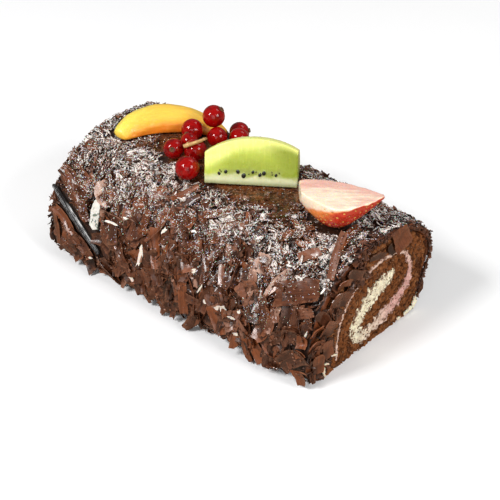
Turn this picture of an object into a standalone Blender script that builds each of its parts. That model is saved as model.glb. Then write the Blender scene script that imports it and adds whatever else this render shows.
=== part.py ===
"""Chocolate swiss roll with fruit on top, modelled as closed solids in metres, +Z up.

The roll lies along X with its flat base on z = 0 and the origin under its middle. Its front is -Y and
the cut end that is looked at is +X. A spiral sponge holds a band of cream, a coat of chocolate with
shavings covers it from foot to foot, and the fruit lies along the crown.
"""
import math
import random

import bpy
import bmesh
from mathutils import Matrix, Vector, noise

# Driving dimensions of the roll
ROLL_LENGTH = 0.169
ROLL_HEIGHT = 0.0579
FRONT_WIDTH = 0.0470        # from the middle plane to the bare coat at the front
BACK_WIDTH = 0.0453
FRONT_FOOT = 0.0355         # half widths of the base
BACK_FOOT = 0.0360
FRONT_WIDEST = 0.0105       # heights at which each side is widest
BACK_WIDEST = 0.0299
ROUNDNESS = 2.3             # exponent of the arch, 2 for an ellipse
COAT_FRONT = 0.0042         # thickness of the chocolate coat on the front and on the back
COAT_BACK = 0.0028
COAT_THINS_FROM = 0.45      # shares round the arch between which it thins
COAT_THINS_TO = 0.80
GAP = 0.0003                # clearance between pieces that touch
COAT_LIFT = 0.0009          # the coat's feet stop just above the base
CLEAR_OF_COAT = 0.0006      # what lies on the crown stays this far above its bare line
FAR_END_LEAN = 0.030        # the far end was cut a little off square, by this share of the height

# Relief and shavings
COAT_STATIONS = 27
COAT_ROUND = 31
RELIEF = 0.0022
LUMPS_ALONG = 95.0          # lumps of the relief per metre of length, and round the whole arch
LUMPS_ROUND = 19.0
CALM_RELIEF = 0.10          # share of the relief left where fruit and other pieces lie
CALM_FRONT = 0.017          # widths of the smooth strip along the crown, and the stretch it covers
CALM_BACK = 0.033
CALM_STRETCH = (-0.078, 0.080)
CALM_BESIDE = 0.0042        # width kept smooth on both sides of the pod and the pale shard
END_RAGGED = 0.0014
SHAVING_COUNT = 78
SHAVING_SEED = 11
SHAVING_THICKNESS = 0.0009

# Centre line of the cream in the YZ plane: y, z and the half thickness there, all in millimetres.
# It starts at the core, makes one turn and a half and ends near the front foot.
CREAM_LINE = (
    (14.0, 33.0, 2.6), (7.0, 30.4, 4.3), (-1.0, 27.2, 4.5), (-8.0, 22.4, 3.9), (-11.4, 15.0, 3.6),
    (-9.2, 8.2, 3.7), (-0.8, 7.6, 3.5), (9.0, 10.4, 3.9), (17.8, 13.8, 4.1), (25.6, 18.4, 3.3),
    (29.0, 26.4, 2.0), (27.6, 35.0, 1.4), (21.4, 41.8, 1.1), (10.4, 44.6, 0.9), (-1.0, 44.0, 0.8),
    (-10.6, 40.4, 0.8), (-18.0, 34.4, 0.8), (-23.2, 26.4, 0.7), (-25.4, 16.0, 0.7), (-25.6, 5.4, 0.6),
)

# Redcurrants: x, y and diameter in millimetres, and the direction that the dry tip points in.
# Each one is let down until it rests on the coat or on those before it.
CURRANTS = (
    (-17.3, -15.9, 11.6, (-0.2, -0.5, -0.8)),
    (-33.9, -8.0, 9.9, (0.45, -0.70, 0.42)),
    (-24.1, -2.9, 10.8, (0.3, 0.4, -0.8)),
    (-33.5, 2.6, 8.5, (-0.6, 0.3, 0.5)),
    (-39.1, 10.9, 10.8, (-0.5, 0.2, -0.6)),
    (-26.2, 15.2, 9.8, (0.7, 0.2, -0.3)),
    (-26.3, 31.9, 10.0, (0.7, 0.6, 0.2)),
    (-7.4, 25.7, 9.4, (0.8, 0.3, 0.5)),
    (-32.1, 19.2, 10.9, (0.55, 0.42, 0.72)),
    (-19.7, 24.1, 9.7, (0.75, 0.45, -0.15)),
)

# The fruit pieces: sizes in metres, places of their local origins, turns in degrees
KIWI_RADIUS = 0.0240
KIWI_HALF_LENGTH = 0.0325   # of the whole fruit, of which the wedge is the trimmed middle
KIWI_TRIMMED = 0.0446
KIWI_OFF_MIDDLE = 0.0022    # the fruit's thickest place, from the middle of the wedge
KIWI_WEDGE = 80.0
KIWI_PLACE = (0.0119, -0.0031)
KIWI_TURN = 35.7
KIWI_BACK_TILT = -1.0
KIWI_SEEDS = ((-15.2, 5.6, 1.0), (-12.0, 6.6, 1.1), (-6.2, 6.9, 1.2), (-3.4, 5.1, 1.5),
              (1.0, 7.1, 1.0), (4.4, 5.9, 1.2), (6.2, 6.8, 1.3), (12.0, 6.1, 0.9))

BERRY_PROFILE = ((0.0, 6.7), (2.0, 9.1), (5.2, 11.6), (10.2, 14.5), (15.4, 15.2), (21.0, 13.7),
                 (27.0, 10.1), (31.7, 6.7), (36.0, 3.1), (38.0, 1.2))   # mm from the hull, radius in mm
BERRY_SHOULDER = 17.0       # mm from the hull over which the berry's middle leans to its far side
BERRY_LEAN = 9.0
BERRY_HULL = (0.0499, -0.0112)
BERRY_TURN = 44.6
BERRY_PITCH = 2.5
BERRY_BACK_TILT = -7.0

PEACH_RADIUS = 0.0365       # of the crescent's middle line
PEACH_SPAN = 92.0           # degrees
PEACH_WIDTH = 0.0188
PEACH_HEIGHT = 0.0112
PEACH_BLUNTNESS = 0.52
PEACH_PLACE = (-0.0302, -0.0111)
PEACH_TURN = 137.3
PEACH_DRAPE = 0.85          # share of the crown's fall that the soft slice follows

STEM_LINE = ((-25.8, -9.1, 68.3), (-22.9, -7.0, 69.8), (-21.6, -2.8, 69.9), (-22.2, 1.2, 69.0),
             (-24.2, 5.0, 67.0))
STEM_RADIUS = 0.0008

# Pieces that lie on the front of the coat: x in metres and place round the arch from 0, the front
# foot, to 1, the back foot
POD_TOP = (-0.0826, 0.240)
POD_BOTTOM = (-0.0462, 0.124)
POD_HALF_WIDTH = 0.0017
POD_STANDOFF = 0.0036
SHARD_TOP = (-0.0543, 0.268)
SHARD_BOTTOM = (-0.0515, 0.181)
SHARD_WIDTH = 0.0060
SHARD_STANDOFF = 0.0026
SHARD_THICKNESS = 0.0010

# Large shavings: x, place round the arch, length and width in mm, spin and tilt in degrees, curl in mm
LARGE_SHAVINGS = (
    (0.0700, 0.283, 20.0, 13.0, 4, 10, 1.2),
    (0.0475, 0.232, 11.0, 11.0, 20, 14, 0.8),
    (0.0473, 0.312, 12.0, 7.0, 62, 24, 0.6),
    (0.0770, 0.375, 22.0, 3.6, 100, 24, 0.8),
    (0.0700, 0.160, 20.0, 7.0, -4, 14, 1.0),
    (0.0780, 0.215, 12.0, 8.0, 12, 16, 1.0),
    (0.0590, 0.200, 13.0, 6.0, -14, 26, 1.4),
    (-0.0115, 0.215, 22.0, 5.0, 84, 18, 1.6),
    (0.0120, 0.150, 24.0, 5.0, 76, 22, 1.6),
    (0.0230, 0.170, 17.0, 6.0, 66, 26, 1.8),
    (-0.0354, 0.246, 11.0, 6.0, 6, 30, 2.6),
    (0.0440, 0.070, 11.0, 8.0, 20, 24, 1.6),
    (0.0360, 0.110, 15.0, 7.0, 52, 20, 1.4),
    (-0.0240, 0.130, 16.0, 6.0, 70, 18, 1.2),
    (0.0795, 0.305, 11.0, 6.0, 82, 22, 0.8),
    (0.0800, 0.140, 10.0, 6.0, 66, 20, 0.8),
)

# The smooth shaving that hangs over the top of the near cut: y, z, length and width in mm, then the
# turn in the cut's plane and the lean off it in degrees
END_SHAVING = (21.0, 50.9, 15.0, 12.0, 8, 8)

MM = 0.001
HALF_LENGTH = ROLL_LENGTH / 2


# ---- small helpers ----

def steps(count):
    """Evenly spaced numbers from 0 to 1."""
    return [i / (count - 1) for i in range(count)]


def lerp(a, b, t):
    return a + (b - a) * t


def smooth_through(points, per_span):
    """Points of a Catmull-Rom curve through the given tuples."""
    vectors = [tuple(p) for p in points]
    ends = [vectors[0]] + vectors + [vectors[-1]]
    curve = []
    for p0, p1, p2, p3 in zip(ends, ends[1:], ends[2:], ends[3:]):
        for i in range(per_span):
            t = i / per_span
            curve.append(tuple(
                0.5 * (2 * b + (c - a) * t + (2 * a - 5 * b + 4 * c - d) * t ** 2
                       + (3 * b - a - 3 * c + d) * t ** 3)
                for a, b, c, d in zip(p0, p1, p2, p3)))
    curve.append(vectors[-1])
    return curve


def material(name, colour, roughness):
    made = bpy.data.materials.new(name)
    made.use_nodes = True
    shader = made.node_tree.nodes["Principled BSDF"]
    shader.inputs["Base Color"].default_value = (*colour, 1.0)
    shader.inputs["Roughness"].default_value = roughness
    return made


def add_object(name, bm, finish, smooth=True):
    """Makes a named object from a bmesh whose faces are turned outward."""
    bmesh.ops.recalc_face_normals(bm, faces=bm.faces)
    mesh = bpy.data.meshes.new(name)
    bm.to_mesh(mesh)
    bm.free()
    if finish:
        mesh.materials.append(finish)
    if smooth:
        mesh.shade_smooth()
        mesh.set_sharp_from_angle(angle=math.radians(40))
    made = bpy.data.objects.new(name, mesh)
    bpy.context.scene.collection.objects.link(made)
    return made


def keep_largest_body(mesh):
    """Drops the loose scraps that a union leaves beside the main body."""
    bm = bmesh.new()
    bm.from_mesh(mesh)
    left = set(bm.verts)
    bodies = []
    while left:
        body, front = set(), [left.pop()]
        while front:
            vert = front.pop()
            body.add(vert)
            for edge in vert.link_edges:
                other = edge.other_vert(vert)
                if other in left:
                    left.remove(other)
                    front.append(other)
        bodies.append(body)
    largest = max(bodies, key=len)
    scraps = [vert for body in bodies if body is not largest for vert in body]
    bmesh.ops.delete(bm, geom=scraps, context="VERTS")
    bm.to_mesh(mesh)
    bm.free()


def fuse(target, pieces):
    """Joins loose pieces to the target by one Boolean union and removes them."""
    group = bpy.data.collections.new(target.name + "_pieces")
    for piece in pieces:
        bpy.context.scene.collection.objects.unlink(piece)
        group.objects.link(piece)
    bpy.context.scene.collection.children.link(group)
    union = target.modifiers.new("union", "BOOLEAN")
    union.operation = "UNION"
    union.operand_type = "COLLECTION"
    union.collection = group
    union.solver = "MANIFOLD"
    bpy.context.view_layer.update()
    graph = bpy.context.evaluated_depsgraph_get()
    joined = bpy.data.meshes.new_from_object(target.evaluated_get(graph))
    target.modifiers.clear()
    keep_largest_body(joined)
    joined.shade_smooth()
    joined.set_sharp_from_angle(angle=math.radians(25))
    target.data = joined
    for piece in pieces:
        bpy.data.objects.remove(piece)
    bpy.data.collections.remove(group)


def skin(bm, rings, closed_round=True):
    """Faces between rings of vertices, each ring joined to the next."""
    for a, b in zip(rings, rings[1:]):
        count = len(a)
        for i in range(count if closed_round else count - 1):
            j = (i + 1) % count
            bm.faces.new((a[i], a[j], b[j], b[i]))


# ---- the arch of the roll ----

def arch_line():
    """Bare outer line of the coat in the YZ plane, from the front foot over the crown to the back foot."""
    points = []
    power = 2 / ROUNDNESS
    quarter = math.pi / 2
    for t in steps(10):
        a = quarter * (1 - t)
        points.append((-(FRONT_FOOT + (FRONT_WIDTH - FRONT_FOOT) * math.cos(a)),
                       FRONT_WIDEST * (1 - math.sin(a))))
    for t in steps(60)[1:]:
        c, s = max(math.cos(quarter * t), 0.0), math.sin(quarter * t)
        points.append((-FRONT_WIDTH * c ** power, lerp(FRONT_WIDEST, ROLL_HEIGHT, s ** power)))
    for t in steps(60)[-2::-1]:
        c, s = math.cos(quarter * t), math.sin(quarter * t)
        points.append((BACK_WIDTH * c ** power, lerp(BACK_WIDEST, ROLL_HEIGHT, s ** power)))
    for t in steps(20)[1:]:
        z = BACK_WIDEST * (1 - t)
        points.append((lerp(BACK_FOOT, BACK_WIDTH, (z / BACK_WIDEST) ** 1.5), z))
    return points


ARCH = arch_line()
REACH = [0.0]
for before, after in zip(ARCH, ARCH[1:]):
    REACH.append(REACH[-1] + math.dist(before, after))


def arch_point(s, depth=0.0):
    """Point of the arch at share s of its girth, sunk evenly by depth towards the middle of the base."""
    wanted = min(max(s, 0.0), 1.0) * REACH[-1]
    k = 1
    while k < len(REACH) - 1 and REACH[k] < wanted:
        k += 1
    t = (wanted - REACH[k - 1]) / (REACH[k] - REACH[k - 1])
    y, z = (lerp(a, b, t) for a, b in zip(ARCH[k - 1], ARCH[k]))
    return y * (1 - depth / FRONT_WIDTH), z * (1 - depth / ROLL_HEIGHT)


def arch_frame(x, s, out=0.0):
    """Place on the arch with its outward normal and the direction round the arch."""
    y0, z0 = arch_point(s - 0.004)
    y1, z1 = arch_point(s + 0.004)
    along = Vector((0.0, y1 - y0, z1 - z0)).normalized()
    normal = Vector((0.0, -along.z, along.y))
    y, z = arch_point(s)
    return Vector((x, y, z)) + normal * out, normal, along


def coat_depth(s):
    """Thickness of the chocolate at share s of the arch."""
    past_crown = (s - COAT_THINS_FROM) / (COAT_THINS_TO - COAT_THINS_FROM)
    return lerp(COAT_FRONT, COAT_BACK, min(max(past_crown, 0.0), 1.0))


def crown_height(y):
    """Height of the bare coat above the point y of the base."""
    half, widest = (BACK_WIDTH, BACK_WIDEST) if y > 0 else (FRONT_WIDTH, FRONT_WIDEST)
    share = max(1 - min(abs(y) / half, 1.0) ** ROUNDNESS, 0.0) ** (1 / ROUNDNESS)
    return lerp(widest, ROLL_HEIGHT, share)


def share_of_y(y):
    """Place round the arch of the point above y, on the crown."""
    return min(steps(401), key=lambda s: math.dist(arch_point(s), (y, crown_height(y))))


CALM_FROM = share_of_y(-CALM_FRONT)
CALM_TO = share_of_y(CALM_BACK)


def near_line(x, s, first, last, reach):
    """True if the place (x, s) lies within reach of the line between two places on the coat."""
    girth = REACH[-1]
    p, a, b = (Vector((u, v * girth)) for u, v in ((x, s), first, last))
    along = b - a
    t = min(max((p - a).dot(along) / along.length_squared, -0.1), 1.1)
    return (p - a - along * t).length < reach


def calm(x, s, reach=0.0):
    """True where the coat is kept smooth: under the fruit, the pod and the pale shard."""
    margin = reach / REACH[-1]
    first, last = CALM_STRETCH
    on_crown = CALM_FROM - margin < s < CALM_TO + margin and first - reach < x < last + reach
    return (on_crown or near_line(x, s, POD_TOP, POD_BOTTOM, CALM_BESIDE + reach)
            or near_line(x, s, SHARD_TOP, SHARD_BOTTOM, CALM_BESIDE + reach))


def relief(x, s):
    """Height of the coat's lumps above its bare line."""
    point = Vector((x * LUMPS_ALONG, s * LUMPS_ROUND, 3.7))
    lumps = 0.65 * noise.noise(point) + 0.35 * noise.noise(point * 2.3)
    return RELIEF * lumps * (CALM_RELIEF if calm(x, s, 0.002) else 1.0)


# ---- sponge, cream and coat ----

def band_outline(extra):
    """Closed line round the cream band, widened by extra, as (y, z) in metres."""
    line = smooth_through(CREAM_LINE, 3)
    left, right = [], []
    for k, (y, z, half) in enumerate(line):
        ya, za, _ = line[max(k - 1, 0)]
        yb, zb, _ = line[min(k + 1, len(line) - 1)]
        run = Vector((yb - ya, zb - za)).normalized()
        wide = half + extra / MM
        left.append(((y - run.y * wide) * MM, (z + run.x * wide) * MM))
        right.append(((y + run.y * wide) * MM, (z - run.x * wide) * MM))
    caps = []
    for k, turn in ((-1, 1), (0, -1)):
        y, z, half = line[k]
        ya, za, _ = line[k - turn]
        run = Vector((y - ya, z - za)).normalized() * (half * 0.8 + extra / MM)
        caps.append(((y + run.x) * MM, (z + run.y) * MM))
    return left + [caps[0]] + right[::-1] + [caps[1]]


def end_x(side, z):
    """X of a cut end at height z: side is 1 at the near end and -1 at the far end."""
    return HALF_LENGTH if side > 0 else -HALF_LENGTH + FAR_END_LEAN * z


def extrude_section(loops, recess=0.0):
    """Solid from end to end whose section has a first loop as its rim and any others as its holes."""
    bm = bmesh.new()
    near, far = [], []
    for loop in loops:
        for end, side in ((1, near), (-1, far)):
            verts = [bm.verts.new((end_x(end, z) - end * recess, y, z)) for y, z in loop]
            side.append(verts)
            for i, vert in enumerate(verts):
                bm.edges.new((vert, verts[(i + 1) % len(verts)]))
        skin(bm, [near[-1], far[-1]])
    for side in (near, far):
        rim_edges = [bm.edges.get((v, loop[(i + 1) % len(loop)]))
                     for loop in side for i, v in enumerate(loop)]
        bmesh.ops.triangle_fill(bm, edges=rim_edges, use_beauty=True)
    return bm


def make_sponge(finish):
    rim = [arch_point(s, coat_depth(s)) for s in steps(COAT_ROUND)]
    bm = extrude_section([rim, band_outline(GAP)])
    return add_object("sponge", bm, finish)


def make_cream(finish):
    bm = extrude_section([band_outline(0.0)], recess=GAP)
    return add_object("cream_filling", bm, finish)


def coat_outside(x, s):
    """Outer point of the coat, with its relief; the feet stay level."""
    point, normal, _ = arch_frame(x, s, relief(x, s))
    point.z = max(point.z, COAT_LIFT)
    if s in (0.0, 1.0):
        point.z = COAT_LIFT
    return point


def make_coat_blank(finish):
    """Arch of chocolate over the sponge, open below, without its shavings."""
    bm = bmesh.new()
    shares = steps(COAT_ROUND)
    outer = []
    for t in steps(COAT_STATIONS):
        ring = []
        for s in shares:
            z = arch_point(s)[1]
            ragged = END_RAGGED * noise.noise(Vector((s * 31, t * 7, 9.1))) if t in (0.0, 1.0) else 0.0
            ring.append(bm.verts.new(coat_outside(lerp(end_x(-1, z), end_x(1, z), t) + ragged, s)))
        outer.append(ring)
    line = [arch_point(s, coat_depth(s) - GAP) for s in shares]
    for foot, above in ((0, 1), (-1, -2)):
        (y0, z0), (y1, z1) = line[foot], line[above]
        line[foot] = (lerp(y0, y1, (COAT_LIFT - z0) / (z1 - z0)), COAT_LIFT)
    inner = [[bm.verts.new((end_x(side, z), y, z)) for y, z in line] for side in (-1, 1)]
    skin(bm, outer, closed_round=False)
    skin(bm, inner[::-1], closed_round=False)
    skin(bm, [inner[0], outer[0]], closed_round=False)
    skin(bm, [outer[-1], inner[1]], closed_round=False)
    for foot in (0, -1):
        bm.faces.new([ring[foot] for ring in outer] + [inner[1][foot], inner[0][foot]])
    bmesh.ops.triangulate(bm, faces=bm.faces)
    return add_object("chocolate_coat", bm, finish)


def make_shaving(place, length, width, curl, ragged):
    """Thin bent plate of chocolate, its local X along its length and Z out of its face."""
    bm = bmesh.new()
    across, down = (-0.5, 0.1, 0.5), (-0.5, 0.5)
    sheets = []
    for side in (-0.5, 0.5):
        sheet = []
        for u in across:
            row = []
            for v in down:
                wobble_x, wobble_y = ragged.uniform(-0.12, 0.12), ragged.uniform(-0.16, 0.16)
                point = Vector(((u + wobble_x * abs(u)) * length, (v + wobble_y) * width,
                                curl * (4 * u * u - 0.3) + side * SHAVING_THICKNESS))
                row.append(bm.verts.new(place @ point))
            sheet.append(row)
        sheets.append(sheet)
    low, high = sheets
    for sheet in sheets:
        skin(bm, sheet, closed_round=False)
    rim_low = [r[0] for r in low] + [r[1] for r in low[::-1]]
    rim_high = [r[0] for r in high] + [r[1] for r in high[::-1]]
    skin(bm, [rim_low, rim_high])
    bmesh.ops.triangulate(bm, faces=bm.faces)
    return add_object("shaving", bm, None, smooth=False)


def shaving_place(x, s, out, spin, tilt):
    """Matrix of a shaving on the coat: spin turns it in the surface, tilt lifts one long edge."""
    point, normal, along = arch_frame(x, s, out)
    axes = Matrix((Vector((1, 0, 0)), along, normal)).transposed().to_4x4()
    turns = Matrix.Rotation(math.radians(spin), 4, "Z") @ Matrix.Rotation(math.radians(tilt), 4, "X")
    return Matrix.Translation(point) @ axes @ turns


def inside_roll(place, length, width):
    """True if the shaving keeps within the roll's ends and above the coat's feet."""
    for u in (-0.5, 0.5):
        for v in (-0.5, 0.5):
            corner = place @ Vector((u * length * 1.15, v * width * 1.3, 0.0))
            if abs(corner.x) > HALF_LENGTH + 0.0012 or corner.z < COAT_LIFT + 0.0006:
                return False
    return True


def make_shavings():
    """The large shavings, then scattered ones over the front, the shoulders and the back."""
    ragged = random.Random(SHAVING_SEED)
    pieces = []
    for x, s, length, width, spin, tilt, curl in LARGE_SHAVINGS:
        place = shaving_place(x, s, 0.0009, spin, tilt)
        pieces.append(make_shaving(place, length * MM, width * MM, curl * MM, ragged))
    y, z, length, width, turn, lean = END_SHAVING
    place = (Matrix.Translation((HALF_LENGTH + 0.0009, y * MM, z * MM))
             @ Matrix.Rotation(math.radians(90 - lean), 4, "Y")
             @ Matrix.Rotation(math.radians(turn), 4, "Z"))
    pieces.append(make_shaving(place, length * MM, width * MM, 0.0, ragged))
    while len(pieces) < SHAVING_COUNT + len(LARGE_SHAVINGS):
        x = ragged.uniform(-0.080, 0.080)
        s = ragged.uniform(0.03, 0.97)
        length = ragged.uniform(0.007, 0.016)
        width = ragged.uniform(0.0035, 0.0075)
        tilt = ragged.choice((-1, 1)) * ragged.uniform(12, 34)
        place = shaving_place(x, s, 0.0006, ragged.uniform(0, 180), tilt)
        if calm(x, s, 0.45 * length) or not inside_roll(place, length, width):
            continue
        pieces.append(make_shaving(place, length, width, ragged.uniform(0.2, 1.3) * MM, ragged))
    return pieces


def make_coat(finish):
    coat = make_coat_blank(finish)
    fuse(coat, make_shavings())
    return coat


# ---- fruit ----

def resting_height(y, radius):
    """Height of the centre of a ball that rests on the crown."""
    reaches = [lerp(-radius, radius, t) for t in steps(31)]
    return CLEAR_OF_COAT + max(crown_height(y + r) + math.sqrt(max(radius ** 2 - r ** 2, 0.0))
                               for r in reaches)


def lay_on_crown(piece, place, turn, underside):
    """Turns a piece and lets it down on the crown at a place (x, y), where its underside first touches."""
    lift = 0.0
    for point in underside:
        turned = turn @ Vector(point)
        lift = max(lift, crown_height(place[1] + turned.y) - turned.z)
    piece.location = (*place, lift + CLEAR_OF_COAT)
    piece.rotation_euler = turn.to_euler()


def make_currant(name, finish, diameter):
    """Berry turned about Z with the dry remains of its flower at the top."""
    radius = diameter / 2
    bm = bmesh.new()
    sides, levels = 12, 8
    tuft = 0.22 * radius
    profile = [(radius * math.sin(math.pi * t), -radius * math.cos(math.pi * t))
               for t in steps(levels + 1)[1:-1]]
    profile += [(tuft, radius * 0.985), (tuft * 1.25, radius * 1.16)]
    rings = []
    for r, z in profile:
        rings.append([bm.verts.new((r * math.cos(2 * math.pi * k / sides),
                                    r * math.sin(2 * math.pi * k / sides), z)) for k in range(sides)])
    skin(bm, rings)
    for ring, z in ((rings[0], -radius), (rings[-1], radius * 1.08)):
        pole = bm.verts.new((0, 0, z))
        for i in range(sides):
            bm.faces.new((ring[i], ring[(i + 1) % sides], pole))
    return add_object(name, bm, finish)


def make_currants(finish):
    placed = []
    for number, (x, y, diameter, tip) in enumerate(CURRANTS, 1):
        x, y, radius = x * MM, y * MM, diameter * MM / 2
        z = resting_height(y, radius)
        for other, other_radius in placed:
            reach = radius + other_radius + GAP
            flat = math.hypot(x - other.x, y - other.y)
            if flat < reach:
                z = max(z, other.z + math.sqrt(reach ** 2 - flat ** 2))
        berry = make_currant(f"redcurrant_{number:02d}", finish, diameter * MM)
        berry.location = (x, y, z)
        berry.rotation_euler = Vector(tip).to_track_quat("Z", "Y").to_euler()
        placed.append((Vector((x, y, z)), radius))


def make_tube(name, line, radii, sides, finish, squash=1.0):
    """Tube along a line of points, with a radius at each, closed by a point at either end."""
    bm = bmesh.new()
    points = [Vector(p) for p in line]
    rings = []
    for k, (point, radius) in enumerate(zip(points, radii)):
        run = (points[min(k + 1, len(points) - 1)] - points[max(k - 1, 0)]).normalized()
        side = run.cross(Vector((0, 0, 1))).normalized()
        up = side.cross(run)
        ring = []
        for j in range(sides):
            a = 2 * math.pi * (j + 0.5) / sides
            ring.append(bm.verts.new(point + side * (radius * math.cos(a))
                                     + up * (radius * squash * math.sin(a))))
        rings.append(ring)
    skin(bm, rings)
    for ring in (rings[0], rings[-1]):
        bm.faces.new(ring)
    bmesh.ops.triangulate(bm, faces=bm.faces)
    return add_object(name, bm, finish)


def make_stem(finish):
    line = smooth_through([tuple(c * MM for c in p) for p in STEM_LINE], 3)
    radii = [STEM_RADIUS * (1.25 - 0.5 * t) for t in steps(len(line))]
    return make_tube("currant_stem", line, radii, 7, finish)


def make_kiwi(finish):
    """Wedge of a peeled kiwi, trimmed at both ends: local X along its core, one cut face down."""
    bm = bmesh.new()
    rings = []
    turns = [math.radians(KIWI_WEDGE) * t for t in steps(9)]
    underside = []
    for t in steps(11):
        x = lerp(-KIWI_TRIMMED / 2, KIWI_TRIMMED / 2, t)
        radius = KIWI_RADIUS * math.sqrt(1 - ((x - KIWI_OFF_MIDDLE) / KIWI_HALF_LENGTH) ** 2)
        underside += [(x, radius * share, 0) for share in steps(9)]
        ring = [bm.verts.new((x, 0, 0))]
        ring += [bm.verts.new((x, radius * math.cos(a), radius * math.sin(a))) for a in turns]
        rings.append(ring)
    skin(bm, rings)
    for ring in (rings[0], rings[-1]):
        bm.faces.new(ring)
    bmesh.ops.triangulate(bm, faces=bm.faces)
    kiwi = add_object("kiwi_wedge", bm, finish)
    face_turn = math.radians(KIWI_WEDGE)
    seeds = []
    for x, out, size in KIWI_SEEDS:
        seed_bm = bmesh.new()
        place = Matrix.Translation((x * MM, out * MM * math.cos(face_turn), out * MM * math.sin(face_turn)))
        place @= Matrix.Rotation(face_turn, 4, "X") @ Matrix.Diagonal((0.8, 1.25, 0.5, 1))
        bmesh.ops.create_icosphere(seed_bm, subdivisions=1, radius=size * MM, matrix=place)
        seeds.append(add_object("seed", seed_bm, None))
    fuse(kiwi, seeds)
    turn = (Matrix.Rotation(math.radians(KIWI_TURN), 3, "Z")
            @ Matrix.Rotation(math.radians(KIWI_BACK_TILT), 3, "X"))
    lay_on_crown(kiwi, KIWI_PLACE, turn, underside)
    return kiwi


def make_strawberry(finish):
    """Half berry, cut face up: local X runs from the hull to the tip, Z out of the cut face."""
    bm = bmesh.new()
    rings = []
    turns = [math.pi * t for t in steps(13)]
    for x, radius in smooth_through(BERRY_PROFILE, 2):
        shoulder = max(1 - x / BERRY_SHOULDER, 0.0) ** 1.4
        ring = []
        for a in turns:
            y = BERRY_LEAN * shoulder - radius * math.cos(a)
            ring.append(bm.verts.new((x * MM, y * MM, -radius * math.sin(a) * MM)))
        rings.append(ring)
    skin(bm, rings)
    for ring in (rings[0], rings[-1]):
        bm.faces.new(ring)
    bmesh.ops.triangulate(bm, faces=bm.faces)
    berry = add_object("strawberry_half", bm, finish)
    turn = (Matrix.Rotation(math.radians(BERRY_TURN), 3, "Z")
            @ Matrix.Rotation(math.radians(BERRY_PITCH), 3, "Y")
            @ Matrix.Rotation(math.radians(BERRY_BACK_TILT), 3, "X"))
    lay_on_crown(berry, BERRY_HULL, turn, [vert.co for vert in berry.data.vertices])
    return berry


def make_peach(finish):
    """Crescent slice: a wedge-shaped section swept round an arc in the local XY plane."""
    section = ((-0.50, 0.00), (0.10, 0.00), (0.42, 0.12), (0.50, 0.42), (0.40, 0.78), (0.16, 0.97),
               (-0.08, 0.96), (-0.30, 0.74), (-0.46, 0.42))   # outward share of width, share of height
    bm = bmesh.new()
    rings = []
    for t in steps(19):
        turn = math.radians(PEACH_SPAN) * (t - 0.5)
        taper = math.sin(math.pi * (0.07 + 0.86 * t)) ** PEACH_BLUNTNESS
        out = Vector((math.cos(turn), math.sin(turn), 0))
        ring = []
        for across, up in section:
            place = out * (PEACH_RADIUS + across * PEACH_WIDTH * taper)
            ring.append(bm.verts.new((place.x, place.y, up * PEACH_HEIGHT * taper)))
        rings.append(ring)
    skin(bm, rings)
    for ring in (rings[0], rings[-1]):
        bm.faces.new(ring)
    bmesh.ops.triangulate(bm, faces=bm.faces)
    peach = add_object("peach_slice", bm, finish)
    turn = Matrix.Rotation(math.radians(PEACH_TURN), 3, "Z")
    for vert in peach.data.vertices:
        y = PEACH_PLACE[1] + (turn @ vert.co).y
        vert.co.z -= PEACH_DRAPE * (ROLL_HEIGHT - crown_height(y))
    lay_on_crown(peach, PEACH_PLACE, turn, [vert.co for vert in peach.data.vertices])
    return peach


# ---- pieces on the front ----

def on_coat(first, last, t, out):
    """Point at share t of the line between two places on the coat, held off by out."""
    return arch_frame(lerp(first[0], last[0], t), lerp(first[1], last[1], t), out)[0]


def make_pod(finish):
    """Dried vanilla pod, thin at its hooked top, leaning on the front of the coat."""
    line, radii = [], []
    for t in steps(13):
        point = on_coat(POD_TOP, POD_BOTTOM, t, POD_STANDOFF - 0.0007 * math.sin(math.pi * t))
        line.append(tuple(point))
        radii.append(POD_HALF_WIDTH * (0.45 + 0.65 * math.sin(math.pi * (0.08 + 0.84 * t)) ** 0.8))
    hook = Vector(line[0]) + Vector((-0.0012, 0.0004, -0.0002))
    return make_tube("vanilla_pod", [tuple(hook)] + line, [POD_HALF_WIDTH * 0.4] + radii, 8, finish,
                     squash=0.7)


def make_white_shard(finish):
    """Thin pale plate, pointed at the top, standing against the coat."""
    bm = bmesh.new()
    middle, normal, _ = arch_frame((SHARD_TOP[0] + SHARD_BOTTOM[0]) / 2,
                                   (SHARD_TOP[1] + SHARD_BOTTOM[1]) / 2, SHARD_STANDOFF)
    top = arch_frame(*SHARD_TOP, SHARD_STANDOFF)[0]
    bottom = arch_frame(*SHARD_BOTTOM, SHARD_STANDOFF)[0]
    down = (bottom - top).normalized()
    side = down.cross(normal).normalized()
    face = side.cross(down)
    half = (bottom - top).length / 2
    outline = ((-1.0, -0.12), (-0.55, -0.42), (0.3, -0.5), (0.9, -0.42), (1.0, 0.1), (0.75, 0.5),
               (-0.1, 0.48), (-0.7, 0.30))   # share of half length down, share of width across
    rims = []
    for layer in (-0.5, 0.5):
        rims.append([bm.verts.new(middle + down * (half * u) + side * (SHARD_WIDTH * v)
                                  + face * (SHARD_THICKNESS * layer - 0.0008 * u * u))
                     for u, v in outline])
    skin(bm, rims)
    for rim in rims:
        bm.faces.new(rim)
    bmesh.ops.triangulate(bm, faces=bm.faces)
    return add_object("white_shard", bm, finish, smooth=False)


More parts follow.
